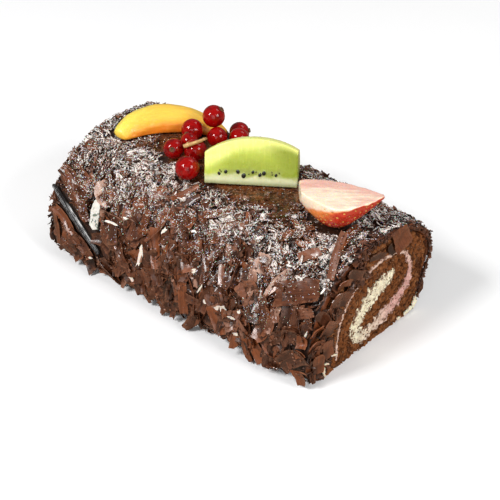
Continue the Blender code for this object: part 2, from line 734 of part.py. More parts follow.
def main():
    for old in list(bpy.data.objects):
        bpy.data.objects.remove(old)
    make_sponge(material("cocoa_sponge", (0.115, 0.052, 0.026), 0.9))
    make_cream(material("cream", (0.78, 0.62, 0.50), 0.6))
    make_coat(material("chocolate", (0.070, 0.026, 0.017), 0.5))
    make_peach(material("peach", (0.90, 0.46, 0.05), 0.25))
    make_kiwi(material("kiwi", (0.46, 0.62, 0.07), 0.3))
    make_strawberry(material("strawberry", (0.80, 0.22, 0.12), 0.3))
    make_currants(material("redcurrant", (0.55, 0.010, 0.015), 0.12))
    make_stem(material("currant_stem", (0.50, 0.45, 0.16), 0.6))
    make_pod(material("vanilla", (0.020, 0.018, 0.018), 0.4))
    make_white_shard(material("white_chocolate", (0.70, 0.64, 0.50), 0.5))


main()
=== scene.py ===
"""Looks of a chocolate swiss roll with fruit on top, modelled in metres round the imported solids, +Z up.

The roll lies along X, its front is -Y and the near cut end is +X. Each sub-assembly is a class with its
sizes as fields: the rolled sponge and cream, the chocolate coat with its shavings, the sugar, each fruit,
the vanilla pod and the pale shard. Finishes are small frozen classes that share shader node groups.
"""
import logging
import math
from dataclasses import dataclass, field
from enum import Enum
from typing import Optional, Sequence, Union

import bmesh
import bpy
import numpy as np
from mathutils import Matrix, Vector, noise
from mathutils.bvhtree import BVHTree
from mathutils.geometry import delaunay_2d_cdt


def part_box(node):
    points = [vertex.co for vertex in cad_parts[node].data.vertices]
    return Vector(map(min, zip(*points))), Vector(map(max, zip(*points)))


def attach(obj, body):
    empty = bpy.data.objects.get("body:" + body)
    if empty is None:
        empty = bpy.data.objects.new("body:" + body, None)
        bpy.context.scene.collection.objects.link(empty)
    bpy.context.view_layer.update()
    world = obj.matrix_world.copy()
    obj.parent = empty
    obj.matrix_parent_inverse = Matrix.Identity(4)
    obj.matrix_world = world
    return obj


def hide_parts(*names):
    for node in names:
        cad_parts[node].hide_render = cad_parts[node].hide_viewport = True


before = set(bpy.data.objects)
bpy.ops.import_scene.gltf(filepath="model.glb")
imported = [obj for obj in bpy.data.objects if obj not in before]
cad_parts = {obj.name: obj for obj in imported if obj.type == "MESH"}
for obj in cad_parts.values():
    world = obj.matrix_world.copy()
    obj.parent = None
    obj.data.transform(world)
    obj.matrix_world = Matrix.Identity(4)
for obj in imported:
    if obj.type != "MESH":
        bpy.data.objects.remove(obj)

LOG = logging.getLogger("swiss_roll")
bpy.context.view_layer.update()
MM = 0.001
BODY = "root"
LOWEST = 0.0004                 # no shaving or smear reaches lower than this over the floor

Array = np.ndarray
Numbers = Union[float, np.ndarray]
Random = np.random.Generator
Colour = tuple[float, float, float]
Loops = list[np.ndarray]
Pair = tuple[float, float]
Table = tuple[tuple[float, ...], ...]
Faces = Sequence[Sequence[int]]
Masks = dict[str, np.ndarray]
Laid = tuple[np.ndarray, Faces, Masks]
Piece = bpy.types.Object
Mesh = bpy.types.Mesh
Material = bpy.types.Material
Node = bpy.types.Node
Socket = bpy.types.NodeSocket
Tree = bpy.types.ShaderNodeTree


# ---- numbers over whole arrays ----

def blend(low: Numbers, high: Numbers, share: Numbers) -> Numbers:
    """Value at a share of the way from low to high."""
    return low + (high - low) * share


def ease(value: Array, start: float, end: float) -> Array:
    """Smooth step from 0 at start to 1 at end."""
    t = np.clip((np.asarray(value, float) - start) / (end - start), 0.0, 1.0)
    return t * t * (3 - 2 * t)


def noise_at(points: Array, per_metre: float, octaves: int = 1, seed: float = 0.0) -> Array:
    """Signed noise at each point.

    Args:
        points: Places, one row of three numbers each, in metres.
        per_metre: How many lumps fit in a metre.
        octaves: How many finer layers are added up.
        seed: Shift of the noise, so that two effects differ.

    Returns:
        One number for each row, mostly within -1 to 1.
    """
    scaled = (np.asarray(points, float) * per_metre + seed * 17.3).tolist()
    if octaves == 1:
        return np.array([noise.noise(p) for p in scaled])
    return np.array([noise.fractal(p, 0.9, 2.1, octaves) for p in scaled])


def smooth_through(points: Sequence[Sequence[float]], per_span: int) -> Array:
    """Catmull-Rom curve through rows of numbers.

    Args:
        points: Rows that the curve passes through.
        per_span: Points made between one row and the next.

    Returns:
        The rows of the curve.
    """
    rows = np.array(points, float)
    ends = np.vstack([rows[:1], rows, rows[-1:]])
    t = (np.arange(per_span) / per_span)[:, None]
    spans = []
    for a, b, c, d in zip(ends, ends[1:], ends[2:], ends[3:]):
        spans.append(0.5 * (2 * b + (c - a) * t + (2 * a - 5 * b + 4 * c - d) * t ** 2
                            + (3 * b - a - 3 * c + d) * t ** 3))
    return np.vstack(spans + [rows[-1:]])


def inside_loop(points: Array, loop: Array) -> Array:
    """Tells which points lie inside a closed loop of the YZ plane.

    Args:
        points: Rows of y and z.
        loop: Rows of y and z, in order round the loop.

    Returns:
        One truth value for each point.
    """
    y, z = points[:, 0][:, None], points[:, 1][:, None]
    y0, z0 = loop[:, 0], loop[:, 1]
    y1, z1 = np.roll(y0, -1), np.roll(z0, -1)
    crosses = (z0 > z) != (z1 > z)
    reach = (y1 - y0) * (z - z0) / np.where(z1 == z0, 1.0, z1 - z0) + y0
    return (crosses & (y < reach)).sum(axis=1) % 2 == 1


# ---- meshes ----

def place_object(name: str, data: bpy.types.ID) -> Piece:
    """Puts an object with the given data into the scene."""
    made = bpy.data.objects.new(name, data)
    bpy.context.scene.collection.objects.link(made)
    return made


def make_piece(name: str, verts: Array, faces: Faces, finishes: Sequence[Material],
               masks: Optional[Masks] = None, sharp_deg: Optional[float] = None) -> Piece:
    """Makes an object from plain vertices and faces.

    Args:
        name: Name of the piece.
        verts: Rows of x, y and z in metres.
        faces: Vertex numbers of each face.
        finishes: Materials in slot order.
        masks: Named numbers or vectors for each vertex, which the materials read.
        sharp_deg: Edges sharper than this stay crisp; all are smooth if it is None.

    Returns:
        The new object.
    """
    mesh = bpy.data.meshes.new(name)
    mesh.from_pydata(np.asarray(verts, float).tolist(), [], [list(map(int, f)) for f in faces])
    for finish in finishes:
        mesh.materials.append(finish)
    for label, values in (masks or {}).items():
        values = np.asarray(values, np.float32)
        kind, key = ("FLOAT_VECTOR", "vector") if values.ndim == 2 else ("FLOAT", "value")
        mesh.attributes.new(label, kind, "POINT").data.foreach_set(key, values.ravel())
    mesh.shade_smooth()
    if sharp_deg is not None:
        mesh.set_sharp_from_angle(angle=math.radians(sharp_deg))
    return place_object(name, mesh)


def joined(parts: Sequence[Laid]) -> Laid:
    """Puts several meshes into one.

    Args:
        parts: Vertices, faces and masks of each.

    Returns:
        Vertices, faces and masks of them all.
    """
    starts = np.cumsum([0] + [len(verts) for verts, _, _ in parts])
    faces = [[v + start for v in face] for (_, rows, _), start in zip(parts, starts) for face in rows]
    masks = {label: np.concatenate([part[2][label] for part in parts]) for label in parts[0][2]}
    return np.vstack([part[0] for part in parts]), faces, masks


def hand_over(piece: Piece, slot: str, *nodes: str) -> Piece:
    """Lets a piece ride on the roll and hides the solids that it stands for.

    Args:
        piece: The finished piece.
        slot: Not used.
        nodes: Solids that the piece replaces.

    Returns:
        The same piece.
    """
    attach(piece, BODY)
    if nodes:
        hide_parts(*nodes)
    LOG.info("%s: %d faces", piece.name, len(piece.data.polygons))
    return piece


def vertices_of(mesh: Mesh) -> Array:
    """Vertex places of a mesh as rows of x, y and z."""
    flat = np.zeros(len(mesh.vertices) * 3, np.float64)
    mesh.vertices.foreach_get("co", flat)
    return flat.reshape(-1, 3)


def vertex_normals(mesh: Mesh) -> Array:
    """Vertex normals of a mesh as rows."""
    return np.array([n.vector[:] for n in mesh.vertex_normals])


def rounded_copy(node: str, voxel: float, rounds: int) -> Mesh:
    """Even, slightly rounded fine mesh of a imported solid.

    Args:
        node: Name of the solid.
        voxel: Size of the new faces in metres.
        rounds: Smoothing steps that round its edges.

    Returns:
        The new mesh.
    """
    bm = bmesh.new()
    bm.from_mesh(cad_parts[node].data)
    bmesh.ops.remove_doubles(bm, verts=bm.verts, dist=1e-6)
    rough = bpy.data.meshes.new(node + "_rough")
    bm.to_mesh(rough)
    bm.free()
    holder = place_object(node + "_rough", rough)
    remesh = holder.modifiers.new("even", "REMESH")
    remesh.mode = "VOXEL"
    remesh.voxel_size = voxel
    soften = holder.modifiers.new("soften", "SMOOTH")
    soften.factor = 0.5
    soften.iterations = rounds
    graph = bpy.context.evaluated_depsgraph_get()
    even = bpy.data.meshes.new_from_object(holder.evaluated_get(graph))
    bpy.data.objects.remove(holder)
    return even


def faces_of(mesh: Mesh) -> Faces:
    """Vertex numbers of each face of a mesh."""
    return [list(p.vertices) for p in mesh.polygons]


def ball_grid(columns: int, rows: int) -> tuple[Array, Faces]:
    """Unit ball about Z as columns and rows, with a pole at each end.

    Args:
        columns: Vertices round each ring.
        rows: Rings between the poles.

    Returns:
        Its vertices, bottom pole first and top pole last, and its faces.
    """
    polar = np.pi * np.arange(1, rows + 1) / (rows + 1)
    turn = 2 * np.pi * np.arange(columns) / columns
    ring = np.stack([np.outer(np.sin(polar), np.cos(turn)), np.outer(np.sin(polar), np.sin(turn)),
                     -np.outer(np.cos(polar), np.ones(columns))], axis=-1).reshape(-1, 3)
    verts = np.vstack([[0, 0, -1], ring, [0, 0, 1]])
    top = len(verts) - 1
    faces = []
    for j in range(columns):
        k = (j + 1) % columns
        faces.append([0, 1 + k, 1 + j])
        for i in range(rows - 1):
            a, b = 1 + i * columns, 1 + (i + 1) * columns
            faces.append([a + j, a + k, b + k, b + j])
        last = 1 + (rows - 1) * columns
        faces.append([last + j, last + k, top])
    return verts, faces


def tube_grid(line: Array, radii: Array, sides: int,
              section: Optional[Array] = None) -> tuple[Array, Faces, Array]:
    """Closed tube along a line.

    Args:
        line: Rows of x, y and z along the middle.
        radii: Radius at each row.
        sides: Vertices round the tube.
        section: Outline for a unit radius, one row of two numbers for each side, or None if round.

    Returns:
        Vertices, faces and the share along the line of each vertex.
    """
    turn = 2 * np.pi * (np.arange(sides) + 0.5) / sides
    outline = np.stack([np.cos(turn), np.sin(turn)], axis=1) if section is None else section
    run = np.gradient(line, axis=0)
    run /= np.linalg.norm(run, axis=1)[:, None]
    side = np.cross(run, [0, 0, 1.0])
    side /= np.maximum(np.linalg.norm(side, axis=1), 1e-9)[:, None]
    up = np.cross(side, run)
    away = side[:, None] * outline[None, :, :1] + up[:, None] * outline[None, :, 1:]
    rings = line[:, None] + radii[:, None, None] * away
    count = len(line)
    verts = np.vstack([rings.reshape(-1, 3), line[:1], line[-1:]])
    faces = []
    for i in range(count - 1):
        for j in range(sides):
            k = (j + 1) % sides
            faces.append([i * sides + j, (i + 1) * sides + j, (i + 1) * sides + k, i * sides + k])
    first, last = count * sides, count * sides + 1
    for j in range(sides):
        k = (j + 1) % sides
        faces.append([first, j, k])
        faces.append([last, (count - 1) * sides + k, (count - 1) * sides + j])
    along = np.concatenate([np.repeat(np.linspace(0, 1, count), sides), [0.0, 1.0]])
    return verts, faces, along


# ---- shader building ----

class Pen:
    """Adds nodes to a shader tree and joins them by the names of their sockets."""

    def __init__(self, tree: Tree) -> None:
        """Starts on a tree."""
        self.tree = tree

    def fill(self, made: Node, **inputs: object) -> Node:
        """Sets or joins inputs of a node.

        Args:
            made: The node.
            inputs: Values or output sockets; an underscore stands for a space, a name such as in0 is
                the input of that number, and a colour may be given as three numbers.

        Returns:
            The same node.
        """
        for label, value in inputs.items():
            numbered = label.startswith("in") and label[2:].isdigit()
            socket = made.inputs[int(label[2:]) if numbered else label.replace("_", " ")]
            if isinstance(value, Socket):
                self.tree.links.new(value, socket)
            elif socket.type == "RGBA" and len(value) == 3:
                socket.default_value = (*value, 1.0)
            else:
                socket.default_value = value
        return made

    def add(self, kind: str, settings: Optional[dict] = None, **inputs: object) -> Node:
        """Adds a node.

        Args:
            kind: Type of the node, without its ShaderNode prefix.
            settings: Properties of the node itself.
            inputs: Its inputs, as fill takes them.

        Returns:
            The new node.
        """
        made = self.tree.nodes.new("ShaderNode" + kind)
        for label, value in (settings or {}).items():
            setattr(made, label, value)
        return self.fill(made, **inputs)

    def maths(self, operation: str, a: object, b: object) -> Socket:
        """Result of a Math node on two values."""
        return self.add("Math", {"operation": operation}, in0=a, in1=b).outputs[0]

    def times(self, a: object, b: object) -> Socket:
        """Product of two values."""
        return self.maths("MULTIPLY", a, b)

    def plus(self, a: object, b: object) -> Socket:
        """Sum of two values."""
        return self.maths("ADD", a, b)

    def less(self, a: object, b: object) -> Socket:
        """First value less the second."""
        return self.maths("SUBTRACT", a, b)

    def spread(self, value: object, low: object, high: object, to_low: float = 0.0,
               to_high: float = 1.0) -> Socket:
        """Maps a value smoothly from one range to another and clamps it.

        Args:
            value: What is mapped.
            low: Start of its range.
            high: End of its range.
            to_low: Result at the start.
            to_high: Result at the end.

        Returns:
            The mapped value.
        """
        made = self.add("MapRange", {"interpolation_type": "SMOOTHSTEP"}, Value=value, From_Min=low,
                        From_Max=high, To_Min=to_low, To_Max=to_high)
        return made.outputs["Result"]

    def mix(self, share: object, a: object, b: object, how: str = "MIX") -> Socket:
        """Mixes two colours.

        Args:
            share: Weight of the second colour.
            a: First colour or its socket.
            b: Second colour or its socket.
            how: Blend type.

        Returns:
            The mixed colour.
        """
        return self.add("Mix", {"data_type": "RGBA", "blend_type": how}, in0=share, in6=a, in7=b).outputs[2]

    def mask(self, label: str, output: str = "Fac") -> Socket:
        """Reads a mask that the mesh carries."""
        return self.add("Attribute", {"attribute_name": label}).outputs[output]

    def place(self) -> Socket:
        """Place of a point in the piece's own space."""
        return self.add("TexCoord").outputs["Object"]

    def noise(self, scale: object, detail: float = 3.0, vector: Optional[Socket] = None,
              rough: float = 0.55) -> Socket:
        """Plain noise from 0 to 1.

        Args:
            scale: Lumps in a metre.
            detail: Finer layers.
            vector: Where it is read, or None for the piece's own space.
            rough: Weight of the finer layers.

        Returns:
            The noise.
        """
        where = self.place() if vector is None else vector
        return self.add("TexNoise", Vector=where, Scale=scale, Detail=detail, Roughness=rough).outputs["Fac"]

    def wander(self, scale: float, detail: float, amount: float) -> Socket:
        """Noise round zero, as wide as amount."""
        return self.times(self.less(self.noise(scale, detail), 0.5), amount)

    def ramp(self, value: object, stops: Sequence[tuple[float, Colour]]) -> Socket:
        """Colour ramp.

        Args:
            value: Where the ramp is read.
            stops: Places from 0 to 1 with their colours.

        Returns:
            The colour.
        """
        made = self.add("ValToRGB", Fac=value)
        scale = made.color_ramp.elements
        while len(scale) < len(stops):
            scale.new(0.5)
        for element, (at, colour) in zip(scale, stops):
            element.position = at
            element.color = (*colour, 1.0)
        return made.outputs["Color"]


class Effect(Enum):
    """Shader node groups that several finishes share."""

    SUGAR = "sugar_powder"
    MOTTLE = "mottled_tint"
    STREAK = "drawn_streaks"
    GRAIN = "fine_grain"


class Effects:
    """Builds each shared node group once and places it in materials."""

    made: dict[Effect, Tree] = {}

    @classmethod
    def use(cls, pen: Pen, effect: Effect, **inputs: object) -> Node:
        """Places an effect in a material.

        Args:
            pen: The material's pen.
            effect: Which group, which is built on its first use.
            inputs: Values or sockets for its named inputs.

        Returns:
            The group's node.
        """
        if effect not in cls.made:
            cls.made[effect] = getattr(cls, "_" + effect.value)()
        return pen.add("Group", {"node_tree": cls.made[effect]}, **inputs)

    @classmethod
    def mottle(cls, pen: Pen, scale: float, base: object, tint: Colour, low: float = 0.4,
               high: float = 0.62, strength: float = 1.0) -> Socket:
        """Soft patches of a tint over a base colour, where noise passes from low to high."""
        return cls.use(pen, Effect.MOTTLE, Vector=pen.place(), Scale=scale, Base=base, Tint=tint,
                       Low=low, High=high, Strength=strength).outputs["Color"]

    @classmethod
    def streaks(cls, pen: Pen, along: float, across: float, label: str = "grain") -> Socket:
        """Fine lines along the first axis of a vector that the mesh carries."""
        where = pen.mask(label, "Vector")
        return cls.use(pen, Effect.STREAK, Vector=where, Along=along, Across=across).outputs["Value"]

    @classmethod
    def grain(cls, pen: Pen, scale: float, fineness: float = 3.4) -> Socket:
        """Height of a fine grain."""
        where = pen.place()
        return cls.use(pen, Effect.GRAIN, Vector=where, Scale=scale, Fineness=fineness).outputs["Height"]

    @staticmethod
    def _start(name: str, numbers: dict[str, float], outputs: dict[str, str],
               colours: Sequence[str] = ()) -> tuple[Pen, bpy.types.bpy_prop_collection, Node]:
        """Makes an empty group with a vector and other named inputs.

        Args:
            name: Name of the group.
            numbers: Number inputs and their defaults.
            outputs: Output name to socket type.
            colours: Colour inputs.

        Returns:
            The pen of the group, the sockets of its inputs and its output node.
        """
        tree = bpy.data.node_groups.new(name, "ShaderNodeTree")
        new_socket = tree.interface.new_socket
        for label, value in numbers.items():
            new_socket(label, in_out="INPUT", socket_type="NodeSocketFloat").default_value = value
        for label in colours:
            new_socket(label, in_out="INPUT", socket_type="NodeSocketColor")
        new_socket("Vector", in_out="INPUT", socket_type="NodeSocketVector")
        for label, kind in outputs.items():
            new_socket(label, in_out="OUTPUT", socket_type="NodeSocket" + kind)
        return Pen(tree), tree.nodes.new("NodeGroupInput").outputs, tree.nodes.new("NodeGroupOutput")

    @classmethod
    def _sugar_powder(cls) -> Tree:
        """Powdered sugar: specks that close up as the amount grows, on faces that look up."""
        pen, given, leave = cls._start(
            "sugar_powder", {"Amount": 0.5, "Clump Scale": 440.0, "Speck Scale": 1700.0},
            {"Mask": "Float", "Height": "Float"})
        clumps = pen.noise(given["Clump Scale"], 2.0, given["Vector"], 0.5)
        specks = pen.noise(given["Speck Scale"], 3.0, given["Vector"], 0.7)
        both = pen.plus(pen.times(clumps, 0.42), pen.times(specks, 0.58))
        edge = pen.less(0.74, pen.times(given["Amount"], 0.275))
        cover = pen.spread(both, edge, pen.plus(edge, 0.07))
        normal = pen.add("NewGeometry").outputs["Normal"]
        up = pen.add("SeparateXYZ", Vector=normal).outputs["Z"]
        mask = pen.times(cover, pen.spread(up, -0.25, 0.45))
        pen.fill(leave, Mask=mask, Height=pen.times(mask, specks))
        return pen.tree

    @classmethod
    def _mottled_tint(cls) -> Tree:
        """Soft patches of a second colour over a first one."""
        pen, given, leave = cls._start(
            "mottled_tint", {"Scale": 300.0, "Low": 0.4, "High": 0.62, "Strength": 1.0},
            {"Color": "Color"}, ("Base", "Tint"))
        patches = pen.noise(given["Scale"], 4.0, given["Vector"], 0.6)
        share = pen.times(pen.spread(patches, given["Low"], given["High"]), given["Strength"])
        pen.fill(leave, Color=pen.mix(share, given["Base"], given["Tint"]))
        return pen.tree

    @classmethod
    def _drawn_streaks(cls) -> Tree:
        """Fine lines drawn out along the first axis of a vector, as a knife or a fibre leaves them."""
        pen, given, leave = cls._start(
            "drawn_streaks", {"Along": 40.0, "Across": 900.0}, {"Value": "Float"})
        parts = pen.add("SeparateXYZ", Vector=given["Vector"]).outputs
        drawn = pen.add("CombineXYZ", X=pen.times(parts["X"], given["Along"]),
                        Y=pen.times(parts["Y"], given["Across"]),
                        Z=pen.times(parts["Z"], given["Across"]))
        pen.fill(leave, Value=pen.noise(1.0, 3.0, drawn.outputs["Vector"], 0.5))
        return pen.tree

    @classmethod
    def _fine_grain(cls) -> Tree:
        """Height of a rough grain made of a coarse and a fine layer."""
        pen, given, leave = cls._start(
            "fine_grain", {"Scale": 900.0, "Fineness": 3.4}, {"Height": "Float"})
        coarse = pen.noise(given["Scale"], 4.0, given["Vector"], 0.65)
        finer = pen.times(given["Scale"], given["Fineness"])
        fine = pen.add("TexVoronoi", Vector=given["Vector"], Scale=finer).outputs["Distance"]
        pen.fill(leave, Height=pen.plus(pen.times(coarse, 0.75), pen.times(fine, 0.25)))
        return pen.tree


def new_material(name: str) -> tuple[Material, Pen, Node]:
    """Makes a material, and gives it with a pen for its tree and its Principled shader."""
    made = bpy.data.materials.new(name)
    made.use_nodes = True
    return made, Pen(made.node_tree), made.node_tree.nodes["Principled BSDF"]


def finish_surface(pen: Pen, shader: Node, colour: Socket, roughness: object,
                   height: Optional[Socket] = None, depth: float = 0.0002, strength: float = 0.6,
                   **others: object) -> None:
    """Joins colour, roughness and relief to a Principled shader and sets its other inputs.

    Args:
        pen: Pen of the material.
        shader: Its Principled shader.
        colour: Base colour.
        roughness: Roughness value or socket.
        height: Relief, or None if smooth.
        depth: Height in metres that the relief's range of 1 stands for.
        strength: Strength of the bump.
        others: Values of other inputs, as fill takes them.
    """
    if height is not None:
        bump = pen.add("Bump", Height=height, Distance=depth, Strength=strength)
        others["Normal"] = bump.outputs["Normal"]
    pen.fill(shader, Base_Color=colour, Roughness=roughness, **others)


# ---- finishes ----

@dataclass(frozen=True)
class ChocolateFinish:
    """Dark chocolate whose tone runs from near black through warm brown to milky, with painted shade in the
    gaps and a painted highlight on shaving rims.
    """

    black: Colour = (0.018, 0.0070, 0.0040)
    dark: Colour = (0.044, 0.0130, 0.0055)
    brown: Colour = (0.088, 0.0270, 0.0120)
    warm: Colour = (0.190, 0.052, 0.016)
    dull: Colour = (0.180, 0.072, 0.042)
    milky: Colour = (0.500, 0.320, 0.245)
    glaze: Colour = (0.148, 0.043, 0.012)
    speck: Colour = (0.480, 0.310, 0.200)
    # edge: lighter brown of the painted highlight on shaving rims, also used for the lighter streaks
    edge: Colour = (0.280, 0.115, 0.060)
    sugar: Colour = (0.90, 0.83, 0.77)

    def build(self, name: str, streaky: bool) -> Material:
        """Makes the material.

        Args:
            name: Its name.
            streaky: True on shavings, which carry lines along their length.

        Returns:
            The material.
        """
        made, pen, shader = new_material(name)
        body = pen.ramp(pen.plus(pen.mask("tone"), pen.wander(300.0, 4.0, 0.30)),
                        [(0.0, self.black), (0.24, self.dark), (0.45, self.brown), (0.62, self.warm),
                         (0.78, self.dull), (1.0, self.milky)])
        relief = grain = Effects.grain(pen, 1300.0)
        if streaky:
            lines = Effects.streaks(pen, 60.0, 1250.0)
            body = pen.mix(pen.spread(lines, 0.36, 0.54, 0.34, 0.0), body, self.black)
            body = pen.mix(pen.spread(lines, 0.54, 0.72, 0.0, 0.15), body, self.edge)
            relief = pen.plus(pen.times(lines, 0.5), pen.times(grain, 0.25))
        # painted highlight: shaving rims turn towards the lighter edge colour, as light on their thin edges
        rim = pen.times(pen.mask("rim"), pen.spread(pen.noise(500.0), 0.42, 0.60))
        body = pen.mix(pen.times(rim, 0.45), body, self.edge)
        glazed, gap = pen.mask("glazed"), pen.mask("gap")
        syrup = Effects.mottle(pen, 420.0, self.glaze, self.dark, 0.44, 0.62, 0.95)
        specks = pen.spread(pen.noise(1300.0, 2.0), 0.60, 0.70, 0.0, 0.8)
        body = pen.mix(glazed, body, pen.mix(specks, syrup, self.speck))
        # painted shade: the gap mask turns low-lying parts of the chocolate towards black
        body = pen.mix(pen.times(gap, 0.90), body, self.black)
        amount = pen.mask("dusting")
        powder = Effects.use(pen, Effect.SUGAR, Vector=pen.place(), Amount=amount).outputs
        body = pen.mix(pen.times(powder["Mask"], 0.82), body, self.sugar)
        dry = pen.spread(pen.noise(240.0), 0.3, 0.7, 0.16, 0.34)
        rough = pen.less(dry, pen.times(glazed, 0.14))
        rough = pen.plus(rough, pen.times(powder["Mask"], 0.4))
        rough = pen.plus(rough, pen.times(gap, 0.3))
        finish_surface(pen, shader, body, rough, pen.plus(relief, powder["Height"]), 0.00022, 0.60,
                       Specular_IOR_Level=0.42)
        return made


@dataclass(frozen=True)
class SpongeFinish:
    """Cocoa sponge: open crumb, drawn out along its layers by the knife, with painted shade in its open
    bubbles.
    """

    crumb: Colour = (0.225, 0.077, 0.025)
    # deep: dark crumb for the layer lines and specks, and the painted shade in the open bubbles
    deep: Colour = (0.036, 0.012, 0.005)
    pale: Colour = (0.380, 0.175, 0.075)

    def build(self, name: str) -> Material:
        """Makes the material under the given name."""
        made, pen, shader = new_material(name)
        drawn = Effects.streaks(pen, 120.0, 520.0, "lay")
        body = Effects.mottle(pen, 420.0, self.crumb, self.pale, 0.50, 0.70, 0.7)
        # the pit mask paints shade into the open bubbles, darkest where they are deepest
        for share in (pen.spread(drawn, 0.50, 0.34, 0.0, 0.80),
                      pen.spread(pen.noise(1300.0, 2.0), 0.42, 0.29, 0.0, 0.8),
                      pen.times(pen.mask("pit"), 0.95)):
            body = pen.mix(share, body, self.deep)
        finish_surface(pen, shader, body, 0.85, Effects.grain(pen, 1500.0, 2.0), 0.0005, 0.9,
                       Specular_IOR_Level=0.08)
        return made


@dataclass(frozen=True)
class CreamFinish:
    """Cream that turns from ivory at the core to dusty pink and pale rose further out."""

    ivory: Colour = (0.96, 0.91, 0.68)
    blush: Colour = (0.90, 0.74, 0.60)
    pink: Colour = (0.72, 0.40, 0.37)
    rose: Colour = (0.72, 0.50, 0.42)
    speck: Colour = (0.15, 0.062, 0.028)

    def build(self, name: str) -> Material:
        """Makes the material under the given name."""
        made, pen, shader = new_material(name)
        turn = pen.plus(pen.mask("turn"), pen.wander(260.0, 3.0, 0.08))
        stops = [(0.0, self.ivory), (0.24, self.ivory), (0.33, self.blush), (0.41, self.pink),
                 (0.52, self.pink), (0.62, self.rose), (1.0, self.rose)]
        body = pen.ramp(turn, stops)
        body = pen.mix(pen.spread(pen.noise(520.0, 4.0), 0.45, 0.7, 0.0, 0.45), body, self.blush)
        body = pen.mix(pen.spread(pen.noise(700.0, 3.0), 0.37, 0.29), body, self.speck)
        smear = pen.times(pen.mask("smear"), pen.spread(pen.noise(560.0, 3.0), 0.40, 0.58))
        body = pen.mix(smear, body, self.speck)
        finish_surface(pen, shader, body, 0.55, Effects.grain(pen, 1000.0), 0.00035, 0.7,
                       Subsurface_Weight=0.2, Subsurface_Radius=(1.0, 0.8, 0.6), Subsurface_Scale=0.0006)
        return made


@dataclass(frozen=True)
class GrainFinish:
    """Plain finish of many tiny bits, with each bit's own shade."""

    light: Colour
    dark: Colour
    roughness: float
    clear: float = 0.0

    def build(self, name: str) -> Material:
        """Makes the material under the given name."""
        made, pen, shader = new_material(name)
        body = pen.mix(pen.mask("tone"), self.dark, self.light)
        body = Effects.mottle(pen, 900.0, body, self.dark, 0.55, 0.8, 0.5)
        finish_surface(pen, shader, body, self.roughness, Effects.grain(pen, 2200.0), 0.0001, 0.5,
                       Subsurface_Weight=self.clear, Subsurface_Scale=0.0004)
        return made


@dataclass(frozen=True)
class FleshFinish:
    """Wet fruit flesh whose colours follow masks on the mesh, one after another."""

    base: Colour
    tints: tuple[tuple[str, Colour], ...]
    mottle: Colour
    roughness: float
    glow: float
    glow_scale: float = 0.002
    fibre: float = 0.25
    coat: float = 0.25
    fibre_light: Colour = (1.0, 0.97, 0.86)

    def build(self, name: str) -> Material:
        """Makes the material under the given name."""
        made, pen, shader = new_material(name)
        fibres = Effects.streaks(pen, 120.0, 1100.0)
        body = Effects.mottle(pen, 190.0, self.base, self.mottle, strength=0.55)
        wavy = pen.plus(1.0, pen.times(pen.less(fibres, 0.5), 0.35))
        for label, tint in self.tints:
            share = pen.times(pen.mask(label), wavy)
            body = pen.mix(pen.spread(share, 0.0, 1.0), body, tint)
        light_fibres = pen.spread(fibres, 0.52, 0.72, 0.0, self.fibre)
        body = pen.mix(light_fibres, body, self.fibre_light, "SOFT_LIGHT")
        wet = pen.spread(pen.noise(300.0), 0.3, 0.7, self.roughness - 0.05, self.roughness + 0.09)
        height = pen.plus(pen.times(fibres, 0.6), pen.noise(500.0, 3.0))
        finish_surface(pen, shader, body, wet, height, 0.00022, 0.4, Subsurface_Weight=self.glow,
                       Subsurface_Radius=(1.0, 0.55, 0.25), Subsurface_Scale=self.glow_scale,
                       Coat_Weight=self.coat, Coat_Roughness=0.08)
        return made


@dataclass(frozen=True)
class BerrySkinFinish:
    """Clear red skin with paler lines from stalk to tip."""

    skin: Colour = (0.36, 0.0018, 0.0018)
    deep: Colour = (0.085, 0.0006, 0.0008)
    vein: Colour = (0.52, 0.010, 0.007)

    def build(self, name: str) -> Material:
        """Makes the material under the given name."""
        made, pen, shader = new_material(name)
        body = Effects.mottle(pen, 210.0, self.skin, self.deep, 0.46, 0.68, 0.7)
        body = pen.mix(pen.times(pen.mask("vein"), 0.55), body, self.vein)
        body = pen.mix(pen.mask("pole"), body, self.deep)
        finish_surface(pen, shader, body, 0.10, pen.noise(700.0, 2.0), 0.0001, 0.15,
                       Subsurface_Weight=0.15, Subsurface_Radius=(1.0, 0.12, 0.10), Subsurface_Scale=0.002,
                       Transmission_Weight=0.30, Specular_IOR_Level=0.15, Coat_Weight=0.28,
                       Coat_Roughness=0.03, IOR=1.40)
        return made


@dataclass(frozen=True)
class StalkFinish:
    """Matte plant skin: stalks, dry flower tips and the vanilla pod, which also carries a painted highlight
    stripe.
    """

    skin: Colour
    shade: Colour
    roughness: float
    wrinkle: float
    coat: float = 0.0
    # colour of the painted highlight stripe
    streak: Colour = (0.70, 0.70, 0.69)

    def build(self, name: str) -> Material:
        """Makes the material under the given name."""
        made, pen, shader = new_material(name)
        lines = Effects.streaks(pen, 220.0, 2600.0)
        body = Effects.mottle(pen, 500.0, self.skin, self.shade, 0.42, 0.62)
        body = pen.mix(pen.spread(lines, 0.52, 0.40, 0.0, 0.7), body, self.shade)
        # pale: painted highlight stripe, in the highlight colour; only the vanilla pod carries this mask
        pale = pen.times(pen.mask("pale"), pen.spread(lines, 0.40, 0.52))
        finish_surface(pen, shader, pen.mix(pale, body, self.streak), self.roughness, lines,
                       self.wrinkle, 0.8, Coat_Weight=self.coat, Coat_Roughness=0.15)
        return made


# ---- the arch of the roll ----

